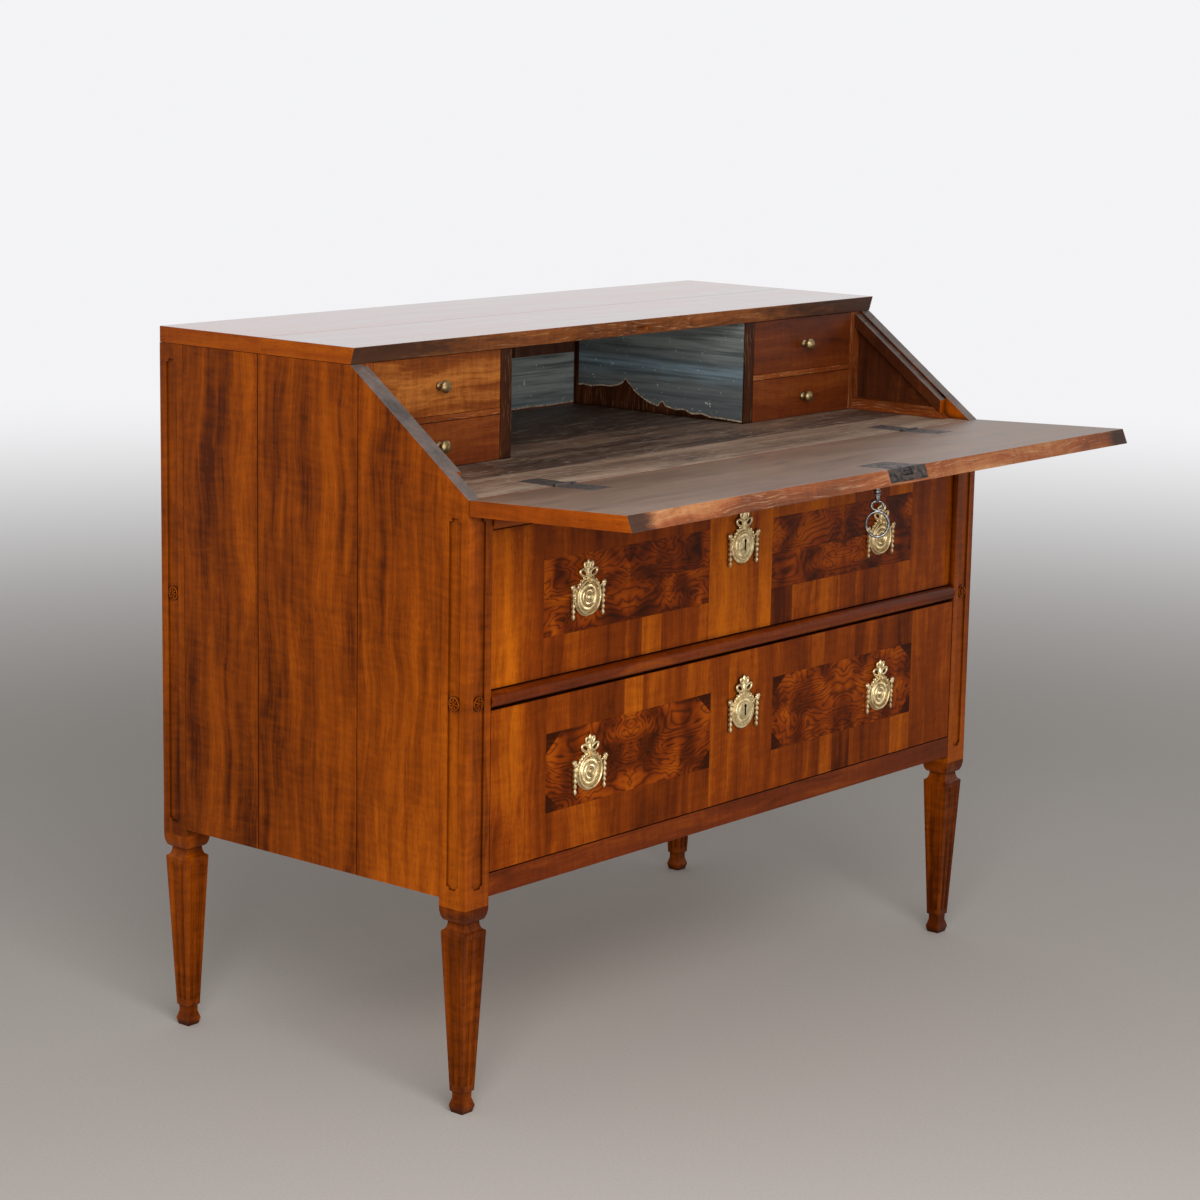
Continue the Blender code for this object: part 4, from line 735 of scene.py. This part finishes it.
lines = add(tree, "Math", {"operation": "DIVIDE"}, {0: part["Z"], 1: 11 * MM}).outputs[0]
lines = add(tree, "Math", {"operation": "MULTIPLY_ADD"}, {0: hills, 1: 14.0, 2: lines}).outputs[0]
lines = add(tree, "Math", {"operation": "PINGPONG"}, {0: lines, 1: 0.5}).outputs[0]
settings = {"Vector": spot, "Scale": 1 / (60 * MM), "Detail": 2.0, "Distortion": 0.4}
cloud = add(tree, "TexNoise", {}, settings).outputs["Fac"]
total = add(tree, "Math", {"operation": "MULTIPLY_ADD"}, {0: lines, 1: 0.14, 2: cloud}).outputs[0]
total = add(tree, "Math", {"operation": "ADD"}, {0: total, 1: tone}).outputs[0]
stops = ((0.32, "#341101"), (0.70, "#a04a06"), (0.46, "#5a2002"), (0.57, "#803303"))
colour = add(tree, "ValToRGB", {"stops": stops}, {"Fac": total}).outputs["Color"]
colour = blended(tree, colour, lines, 0.2, 0.0, 0.65, "#2c0f01")
settings = {"Vector": spot, "Scale": 1 / (2.2 * MM), "Detail": 2.0}
specks = add(tree, "TexNoise", {}, settings).outputs["Fac"]
colour = blended(tree, colour, specks, 0.62, 0.78, 0.4, "#3a1402")
tree.links.new(colour, shader.inputs["Base Color"])
limits = {"Value": cloud, "From Min": 0.3, "From Max": 0.7, "To Min": 0.24, "To Max": 0.36}
tree.links.new(add(tree, "MapRange", {}, limits).outputs["Result"], shader.inputs["Roughness"])
bump = add(tree, "Bump", {"invert": True}, {"Strength": 0.1, "Distance": 0.3 * MM, "Height": specks})
tree.links.new(bump.outputs[0], shader.inputs["Normal"])
shader.inputs["Specular IOR Level"].default_value = 0.12
shader.inputs["Specular Tint"].default_value = linear(SHELLAC)

# Drawer sides keep their planed face: dry, with paler stains than on the back.
tray_pine = timber(
    "planed_pine_drawer_side", PINE_TONES, "Y", gloss=0.6, shine=0.2, polished=False, stain="#7c5530",
)
# The bands above and below a panel: where each joint lies from the panel's left end in mm, and the tone.
BANDS = {
    ("upper_drawer", -1): (((339, -0.06),), ((197, -0.12), (238, 0.16), (339, -0.15))),
    ("upper_drawer", 1): (
        ((195, 0.18), (280, -0.14), (339, 0.1)),
        ((49, -0.12), (105, 0.06), (163, 0.2), (188, -0.1), (261, -0.15), (339, -0.05)),
    ),
    ("lower_drawer", -1): (((155, -0.08), (193, 0.25), (339, -0.08)), ((130, -0.1), (339, -0.14))),
    ("lower_drawer", 1): (
        ((85, -0.08), (120, 0.1), (150, 0.22), (195, -0.1), (250, -0.04), (339, -0.1)),
        ((115, -0.08), (145, 0.12), (188, -0.2), (290, -0.12), (339, 0.15)),
    ),
}
# Tones of the upright strips: two at the left end, two in the middle and two at the right end.
STILES = {
    "upper_drawer": (0.22, 0.10, 0.34, 0.22, -0.10, -0.04),
    "lower_drawer": (0.06, -0.04, 0.0, -0.12, -0.10, -0.06),
}
# Foot and head of the panels, the joint in the middle stile, and the size of the canted corners.
DRAWERS = (
    ("upper_drawer", 597 * MM, 697 * MM, 40 * MM, None),
    ("lower_drawer", 370 * MM, 474 * MM, -30 * MM, (30 * MM, 26 * MM)),
)
QUARTER_TONES = (0.0, -0.03, 0.03, -0.05)


def quarters(left, right, foot, head):
    """The four quarters of an oblong, with a joint between them."""
    middle, waist = (left + right) / 2, (foot + head) / 2
    inset = VENEER_GAP / 2
    for base, crown in ((foot, waist - inset), (waist + inset, head)):
        for start, end in ((left, middle - inset), (middle + inset, right)):
            yield start, end, base, crown


for m, (name, panel_low, panel_high, split, cant) in enumerate(DRAWERS):
    low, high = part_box(f"{name}_front")
    back = low.y + VENEER
    shape = solid_of(f"{name}_front")
    for vertex in shape.verts:
        vertex.co.y = max(vertex.co.y, back + GLUE)
    grained(shape, -0.05, (0.2, 0.3, 0.4))
    placed(f"{name}_front_board", shape, [veneer], name, "walnut", f"{name}_front")

    strips = (
        (low.x, -STILE_SPLIT), (-STILE_SPLIT, -PANEL_FAR), (-PANEL_NEAR, split), (split, PANEL_NEAR),
        (PANEL_FAR, STILE_SPLIT), (STILE_SPLIT, high.x),
    )
    patches = [(*strip, low.z, high.z, tone) for strip, tone in zip(strips, STILES[name])]
    for side in (-1, 1):
        start = PANEL_NEAR if side > 0 else -PANEL_FAR
        above, below = BANDS[name, side]
        for foot, head, band in ((panel_high, high.z, above), (low.z, panel_low, below)):
            near = 0
            for far, tone in band:
                patches.append((start + near * MM, start + far * MM, foot, head, tone))
                near = far
    shape = blank()
    inset = VENEER_GAP / 2
    for n, (left, right, foot, head, tone) in enumerate(patches):
        faces = prism(shape, oblong(left + inset, right - inset, foot + inset, head - inset), low.y, back)
        grained(shape, tone * TONE_STEP, (0.37 * n, 0.0, 0.61 * n), faces)
    placed(f"{name}_veneer", rounded(shape, VENEER_EASE), [veneer], name, "walnut", f"{name}_front")

    shape = blank()
    for side in (-1, 1):
        left, right = sorted((side * PANEL_NEAR, side * PANEL_FAR))
        left, right, foot, head = left + inset, right - inset, panel_low + inset, panel_high - inset
        shift = (0.29 * m + 0.13 * side, 0.0, 0.17 * m)
        if cant:
            wide, tall = cant
            outline = [(left + wide, foot), (right - wide, foot), (right, foot + tall)]
            outline += [(right, head - tall), (right - wide, head), (left + wide, head)]
            outline += [(left, head - tall), (left, foot + tall)]
            grained(shape, 0.0, shift, prism(shape, outline, low.y, back))
            corners = ((left, foot, 1, 1), (right, foot, -1, 1), (right, head, -1, -1), (left, head, 1, -1))
            for x, z, along, up in corners:
                corner = [(x, z), (x + along * (wide - inset), z), (x, z + up * (tall - inset))]
                grained(shape, CANT_TONE, (0.7, 0.0, 0.9), prism(shape, corner, low.y, back))
        else:
            for n, (start, end, base, crown) in enumerate(quarters(left, right, foot, head)):
                faces = prism(shape, oblong(start, end, base, crown), low.y, back)
                grained(shape, QUARTER_TONES[n], (shift[0], 0.0, 0.37 * (n // 2)), faces)
    placed(f"{name}_burr_panels", rounded(shape, VENEER_EASE), [burr], name, "walnut", f"{name}_front")

    shape = grained(rounded(solid_of(f"{name}_tray"), BOARD_EASE), 0.0, (0.3, 0.1, 0.2))
    placed(f"{name}_tray_planed", shape, [tray_pine], name, "pine", f"{name}_tray")
    shape = grained(rounded(solid_of(f"{name}_bottom"), BOARD_EASE), 0.04, (0.1, 0.5, 0.2))
    placed(f"{name}_bottom_planed", shape, [cross_pine], name, "pine", f"{name}_bottom")


# Brass mounts: cast and chased, pinned to the drawer fronts. A ringed disc hangs under a tied bow with
# a bud on top, a strand of husks hangs on each side, and a loose ring is the pull of each handle.
PLATE_RADIUS = 25.2 * MM
FINIAL_RISE = 24.3 * MM
RELIEF = 2.6 * MM
RIBS = 44
RING_WIRE = 1.5 * MM
KNOP_REACH = 31 * MM
KNOP_RISE = 16 * MM
KNOP_SIZE = (3.6 * MM, 3.1 * MM, 3.6 * MM, 1.0)
KNOP_PETALS = (5, 2.2 * MM, (1.5 * MM, 1.3 * MM, 3.2 * MM))
STEM_START = Vector((19.8 * MM, 0.0, 8.8 * MM))
STEM_BEADS = 5
STEM_SIZE = (1.9 * MM, 1.7 * MM, 1.5 * MM, 1.0)
STRAND_REACH = 29.3 * MM
HUSKS = 6
HUSK_PITCH = 7.1 * MM
HUSK_WIDEST = 1.25
HUSK_TAPER = 0.06
LOOP_WIRE = 1.8 * MM
LEAF_PAIRS = 11
LEAF_PITCH = 14
LEAF_STAGGER = 4
LEAF_LEAN = 28
LEAF_REACH = (-1.0 * MM, 0.9 * MM)
LEAF_SINK = 0.6 * MM
LEAF_SIZE = (2.7 * MM, 1.5 * MM, 1.15 * MM, 1.0)
EYE_SIZE = 8.6 * MM
EYE_WIRE = 1.1 * MM
# Each loop of the bow: width, height, offset from the middle, rise above the plate, and lean.
LOOPS = (
    (18.0 * MM, 11.6 * MM, 9.8 * MM, 32.0 * MM, math.radians(26)),
    (8.8 * MM, 12.0 * MM, 5.4 * MM, 41.4 * MM, math.radians(-24)),
)
# Brass, cast in sand, chased, and gone dull gold. Its hollows are darkened, partly with black dirt
# left in the chasing and partly with painted shade.
brass, tree, shader, spot = coat_of("cast_chased_brass", 0.45, 1.0)
tone = add(tree, "Attribute", {"attribute_name": "tone"}, {}).outputs["Fac"]
settings = {"Vector": spot, "Scale": 1 / (6 * MM), "Detail": 4.0}
patches = add(tree, "TexNoise", {}, settings).outputs["Fac"]
patina = add(tree, "Math", {"operation": "ADD"}, {0: patches, 1: tone}).outputs[0]
stops = ((0.2, "#7a6644"), (0.45, "#d8c08e"), (0.65, "#f3e0b2"))
colour = add(tree, "ValToRGB", {"stops": stops}, {"Fac": patina}).outputs["Color"]
settings = {"samples": 6, "only_local": True}
occlusion_shade = add(tree, "AmbientOcclusion", settings, {"Distance": 2.2 * MM}).outputs["AO"]
colour = blended(tree, colour, occlusion_shade, 0.6, 0.15, 0.85, "#3a2c16")
tree.links.new(colour, shader.inputs["Base Color"])
limits = {"Value": patina, "From Min": 0.35, "From Max": 0.65, "To Min": 0.52, "To Max": 0.4}
tree.links.new(add(tree, "MapRange", {}, limits).outputs["Result"], shader.inputs["Roughness"])
settings = {"Vector": spot, "Scale": 1 / (0.8 * MM), "Detail": 3.0}
sand = add(tree, "TexNoise", {}, settings).outputs["Fac"]
bump = add(tree, "Bump", {}, {"Strength": 0.12, "Distance": 0.2 * MM, "Height": sand})
tree.links.new(bump.outputs[0], shader.inputs["Normal"])

BOSS = profile_mm(
    (0.1, 7.0), (1.3, 6.9), (2.4, 6.4), (3.2, 5.6), (3.6, 4.3), (4.1, 3.6), (4.6, 4.4), (5.0, 5.0),
    (5.8, 5.0), (6.2, 4.4), (6.6, 3.7), (7.0, 4.4), (7.5, 5.1, 0.12), (8.7, 5.2, 0.3), (9.7, 4.9, 0.12),
    (10.1, 3.8), (10.6, 4.6), (11.3, 5.1), (12.0, 4.6), (12.4, 3.7), (12.8, 4.4), (13.4, 4.9, 0.15),
    (14.5, 5.2, 0.42), (15.8, 5.1, 0.45), (16.7, 4.8, 0.2), (17.3, 4.3), (17.9, 3.9), (18.4, 3.2),
    (18.4, 2.2),
)
DOME = profile_mm(
    (10.6, 5.25), (11.6, 5.05), (12.2, 4.5), (12.8, 4.85), (13.6, 4.75, 0.1), (15.0, 4.6, 0.35),
    (16.4, 4.3, 0.35), (17.2, 4.0, 0.1), (17.8, 3.4), (18.4, 3.9), (19.4, 4.1), (20.3, 3.7), (20.8, 2.2),
)
RIM = profile_mm(
    (22.0, 2.2), (23.2, 2.2), (23.8, 2.35, 0.1), (24.6, 2.3, 0.15), (25.1, 1.8), (25.2, 1.2), (25.2, 0.0),
    (0.1, 0.0),
)
BUD = profile_mm(
    (0.1, 0.0), (0.9, -0.7), (1.9, -2.6), (2.6, -5.0), (2.3, -7.4), (1.7, -9.6), (1.6, -12.5), (2.2, -14.0),
    (3.6, -16.6), (4.0, -19.0), (3.5, -21.4), (2.6, -24.0), (2.5, -26.0), (0.1, -26.0),
)
HUSK = profile_mm(
    (0.2, 0.4), (1.0, 0.0), (1.9, -1.4), (2.5, -3.2), (2.4, -4.8), (1.6, -6.2), (0.9, -7.2), (0.2, -7.4),
)
FACE_OUT = Matrix.Rotation(QUARTER, 4, "X")


def ornament(shape, plate):
    """The bow, bud, knops, strands and wreath round a plate; plate is the middle of the plate's back."""
    relief = plate @ Matrix.Translation((0.0, -RELIEF, 0.0))
    bud_place = relief @ Matrix.Translation((0.0, 0.0, PLATE_RADIUS + FINIAL_RISE))
    shape.faces.new(turned(shape, bud_place @ Matrix.Diagonal((1.0, 0.9, 1.0, 1.0)), BUD, 24, 6, 0.10))
    for side in (-1, 1):
        for width, height, offset, rise, lean in LOOPS:
            spot = relief @ Matrix.Translation((side * offset, 0.0, rise))
            hoop(shape, spot @ Matrix.Rotation(-side * lean, 4, "Y"), width, height, LOOP_WIRE, 28, 10)
        knop = relief @ Matrix.Translation((side * KNOP_REACH, 0.0, KNOP_RISE))
        bead(shape, knop @ Matrix.Diagonal(KNOP_SIZE), 12)
        petals(shape, knop @ FACE_OUT, *KNOP_PETALS)
        for n in range(STEM_BEADS):
            spot = STEM_START.lerp(Vector((KNOP_REACH, 0.0, KNOP_RISE)), n / (STEM_BEADS - 1))
            spot.x *= side
            bead(shape, relief @ Matrix.Translation(spot) @ Matrix.Diagonal(STEM_SIZE))
        for n in range(HUSKS):
            spot = relief @ Matrix.Translation((side * STRAND_REACH, 0.0, KNOP_RISE - n * HUSK_PITCH))
            size = HUSK_WIDEST - HUSK_TAPER * n
            spot = spot @ Matrix.Diagonal((size, size, 1.0, 1.0))
            shape.faces.new(turned(shape, spot, HUSK, 15, 5, 0.12))
    for n in range(LEAF_PAIRS):
        for layer, lean in ((0, LEAF_LEAN), (1, -LEAF_LEAN)):
            swing = (n - LEAF_PAIRS // 2) * LEAF_PITCH + (layer - 0.5) * LEAF_STAGGER
            angle = math.radians(90 + swing)
            reach = PLATE_RADIUS + LEAF_REACH[layer]
            spot = Matrix.Translation((reach * math.cos(angle), LEAF_SINK, reach * math.sin(angle)))
            lie = Matrix.Rotation(-angle - math.radians(90 + lean), 4, "Y")
            bead(shape, relief @ spot @ lie @ Matrix.Diagonal(LEAF_SIZE))


for drawer in ("upper_drawer", "lower_drawer"):
    for side in ("left", "right"):
        node = f"{drawer}_{side}_handle_plate"
        plate_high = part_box(node)[1]
        ring_low, ring_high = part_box(f"{drawer}_{side}_ring")
        centre = (ring_low + ring_high) / 2
        plate = Matrix.Translation((centre.x, plate_high.y, plate_high.z - PLATE_RADIUS - FINIAL_RISE))
        shape = blank()
        shape.faces.new(turned(shape, plate @ FACE_OUT, BOSS + RIM, RIBS * 4, RIBS))
        ornament(shape, plate)
        eye = Matrix.Translation((centre.x, centre.y, ring_high.z - RING_WIRE))
        hoop(shape, eye @ Matrix.Rotation(QUARTER, 4, "Z"), EYE_SIZE, EYE_SIZE, EYE_WIRE, 24, 8)
        placed(f"{node}_chased", shape, [brass], drawer, "brass", node)
        shape = blank()
        size = ring_high.x - ring_low.x
        hoop(shape, Matrix.Translation(centre), size, size, RING_WIRE, 72, 12)
        body = f"{drawer.split('_')[0]}_{side}_ring"
        placed(f"{drawer}_{side}_ring_drawn", shape, [brass], body, "brass", f"{drawer}_{side}_ring")


# Escutcheons: the same casting with a plain dome, pierced for the key. The lock's iron shows through
# the keyhole, a round hole over a slot, black with painted shade.
KEYHOLE_RADIUS = 2.7 * MM
KEYHOLE_SLOT = 3.4 * MM
KEYHOLE_HEIGHT = 13.5 * MM
KEYHOLE_EYE = Vector((0.0, 5.0 * MM))
KEYHOLE_STEPS = 16
KEYHOLE_LIP = 0.3 * MM
KEYHOLE_FLOOR = 0.4 * MM
DOME_HEIGHT = 5.9 * MM
turn = math.asin(KEYHOLE_SLOT / 2 / KEYHOLE_RADIUS) - QUARTER
keyhole = []
for n in range(KEYHOLE_STEPS + 1):
    angle = turn + (math.pi - 2 * turn) * n / KEYHOLE_STEPS
    spot = Vector((math.cos(angle), math.sin(angle))) * KEYHOLE_RADIUS
    keyhole.append(spot + Vector((0.0, KEYHOLE_HEIGHT / 2)))
for side in (-1, 1):
    keyhole.append(Vector((side * KEYHOLE_SLOT / 2, -KEYHOLE_HEIGHT / 2)))


def keyhole_edge(spot):
    """Where the line from the eye of the keyhole to a spot on the dome crosses the keyhole's edge."""
    way = (spot - KEYHOLE_EYE).normalized()
    best = 0.0
    for n in range(len(keyhole)):
        start, run = keyhole[n - 1] - KEYHOLE_EYE, keyhole[n] - keyhole[n - 1]
        slant = way.x * run.y - way.y * run.x
        if abs(slant) > 1e-12:
            along = (start.x * run.y - start.y * run.x) / slant
            share = (start.x * way.y - start.y * way.x) / slant
            if -1e-6 <= share <= 1 + 1e-6:
                best = max(best, along)
    return KEYHOLE_EYE + way * best


for drawer in ("upper_drawer", "lower_drawer"):
    node = f"{drawer}_escutcheon"
    low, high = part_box(node)
    plate = Matrix.Translation(((low.x + high.x) / 2, high.y, high.z - PLATE_RADIUS - FINIAL_RISE))
    shape = blank()
    outer = turned(shape, plate @ FACE_OUT, DOME + RIM, RIBS * 4, RIBS)
    inverse = (plate @ FACE_OUT).inverted()
    edges = [keyhole_edge((inverse @ vertex.co).to_2d()) for vertex in outer]
    loops = [outer]
    for height in (DOME_HEIGHT, DOME_HEIGHT - KEYHOLE_LIP, KEYHOLE_FLOOR):
        loops.append([shape.verts.new(plate @ FACE_OUT @ Vector((*spot, height))) for spot in edges])
    for m, (ring, after) in enumerate(zip(loops, loops[1:])):
        for n in range(len(ring)):
            shape.faces.new((ring[n - 1], ring[n], after[n], after[n - 1])).material_index = m // 2
    shape.faces.new(loops[-1]).material_index = 1
    ornament(shape, plate)
    placed(f"{node}_chased", shape, [brass, iron], drawer, "brass", node)


# Small drawers of the gallery: walnut boxes with pine bottoms and small turned brass knobs. The fronts
# were cut from odd lengths: the upper left one is half golden sapwood, the others are red-brown.
SMALL_EASE = 0.6 * MM
KNOB_TONE = -0.30
KNOB = profile_mm(
    (0.1, 17.5), (2.5, 17.4), (4.8, 16.9), (6.6, 16.0), (7.9, 14.8), (8.5, 13.4), (8.2, 12.3), (7.2, 11.5),
    (5.2, 11.0), (3.8, 10.4), (3.3, 9.2), (3.2, 7.0), (3.4, 5.0), (4.0, 3.6), (5.2, 2.8), (5.5, 2.0),
    (5.5, 0.0), (0.1, 0.0),
)
# Waxed walnut: red-brown and only half bright.
small_red = timber("waxed_red_brown_walnut", ("#38150a", "#642c10", "#88481c"), "X", gloss=0.36, shine=0.25)
# Sapwood runs through this board: gold beside brown, in soft sweeps.
small_gold = timber(
    "waxed_walnut_with_sapwood", ("#43200c", "#743810", "#a8642a"), "X", gloss=0.34, shine=0.3,
    contrast=0.085,
)
for m, level in enumerate(("upper", "lower")):
    for n, side in enumerate(("left", "right")):
        name, body = f"{level}_{side}_small_drawer", f"{level}_{side}_small"
        wood = small_red if m or n else small_gold
        tone = 0.06 if m and not n else 0.0
        shape = grained(rounded(solid_of(name), SMALL_EASE), tone, (0.3 + 0.5 * m, 0.0, 0.2 + 0.3 * n))
        placed(f"{name}_box", shape, [wood], body, "walnut", name)
        shape = grained(rounded(solid_of(f"{name}_bottom"), BOARD_EASE), 0.0, (0.3, 0.1, 0.6))
        placed(f"{name}_bottom_planed", shape, [tray_pine], body, "pine", f"{name}_bottom")
        low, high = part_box(f"{name}_knob")
        spot = Matrix.Translation(((low.x + high.x) / 2, high.y, (low.z + high.z) / 2))
        shape = blank()
        shape.faces.new(turned(shape, spot @ FACE_OUT, KNOB, 32))
        grained(shape, KNOB_TONE, (0.0, 0.0, 0.0))
        placed(f"{name}_knob_turned", shape, [brass], body, "brass", f"{name}_knob")


# Floor, light and camera. A pale matt floor runs out into white; one wide soft lamp stands high on
# the left of the camera, and the camera looks from where the photograph was taken.
FLOOR_REACH = 40.0
FADE_START = 1.6
FADE_END = 7.0
LAMP_SIZE = (2.6, 2.0)
LAMP_POWER = 102
LAMP_PLACE = (-2.05, -2.25, 1.7)
LAMP_AIM = Vector((0.0, 0.0, 0.55))
CAMERA_PLACE = (-3.2804, -2.6266, 1.3713)
CAMERA_HEADING = math.radians(-50.176)
CAMERA_PITCH = math.radians(10.787)
CAMERA_ROLL = math.radians(1.042)
CAMERA_LENS = 92.05
CAMERA_SENSOR = 36.0
BACKDROP = 0.93
WORLD_FILL = 0.36
WHITE = "#fbfbfd"


def background_rays(tree):
    """One for rays that should see the background as it is: from the camera, gloss or glass."""
    rays = add(tree, "LightPath", {}, {}).outputs
    seen = rays["Is Camera Ray"]
    for kind in ("Is Glossy Ray", "Is Transmission Ray"):
        seen = add(tree, "Math", {"operation": "MAXIMUM"}, {0: seen, 1: rays[kind]}).outputs[0]
    return seen


shape = bmesh.new()
bmesh.ops.create_grid(shape, x_segments=8, y_segments=8, size=FLOOR_REACH)
mesh = bpy.data.meshes.new("floor")
shape.to_mesh(mesh)
shape.free()
floor = bpy.data.objects.new("floor", mesh)
bpy.context.scene.collection.objects.link(floor)
# Painted boards under a matt varnish: pale grey-brown with a fine grit.
pale, tree, shader, spot = coat_of("pale_matt_floor", 0.85, 0.0)
shader.inputs["Specular IOR Level"].default_value = 0.2
settings = {"Vector": spot, "Scale": 1 / (4 * MM), "Detail": 3.0}
grit = add(tree, "TexNoise", {}, settings).outputs["Fac"]
colour = add(tree, "ValToRGB", {"stops": ((0.3, "#bab4ad"), (0.7, "#c1bbb4"))}, {"Fac": grit})
tree.links.new(colour.outputs["Color"], shader.inputs["Base Color"])
reach = add(tree, "VectorMath", {"operation": "LENGTH"}, {0: spot}).outputs["Value"]
limits = {"Value": reach, "From Min": FADE_START, "From Max": FADE_END}
fade = add(tree, "MapRange", {"interpolation_type": "SMOOTHSTEP"}, limits).outputs["Result"]
fade = add(tree, "Math", {"operation": "MULTIPLY"}, {0: fade, 1: background_rays(tree)}).outputs[0]
glow = add(tree, "Emission", {}, {"Color": linear(WHITE), "Strength": BACKDROP}).outputs[0]
surface = add(tree, "MixShader", {}, {0: fade, 1: shader.outputs[0], 2: glow}).outputs[0]
tree.links.new(surface, tree.nodes["Material Output"].inputs["Surface"])
floor.data.materials.append(pale)

world = bpy.data.worlds.new("studio")
bpy.context.scene.world = world
world.use_nodes = True
tree = world.node_tree
tree.nodes.clear()
limits = {"Value": background_rays(tree), "To Min": WORLD_FILL, "To Max": BACKDROP}
level = add(tree, "MapRange", {}, limits).outputs["Result"]
sky = add(tree, "Background", {}, {"Color": linear(WHITE), "Strength": level}).outputs[0]
add(tree, "OutputWorld", {}, {"Surface": sky})

lamp = bpy.data.lights.new("soft_window", "AREA")
lamp.shape = "RECTANGLE"
lamp.size, lamp.size_y = LAMP_SIZE
lamp.energy = LAMP_POWER
window = bpy.data.objects.new("soft_window", lamp)
bpy.context.scene.collection.objects.link(window)
window.location = LAMP_PLACE
window.rotation_euler = (LAMP_AIM - window.location).to_track_quat("-Z", "Y").to_euler()

camera = bpy.data.objects.new("camera", bpy.data.cameras.new("camera"))
bpy.context.scene.collection.objects.link(camera)
camera.data.lens = CAMERA_LENS
camera.data.sensor_width = CAMERA_SENSOR
turn = Matrix.Rotation(CAMERA_HEADING, 4, "Z") @ Matrix.Rotation(QUARTER - CAMERA_PITCH, 4, "X")
camera.matrix_world = Matrix.Translation(CAMERA_PLACE) @ turn @ Matrix.Rotation(CAMERA_ROLL, 4, "Z")
bpy.context.scene.camera = camera
bpy.context.scene.view_settings.view_transform = "Standard"
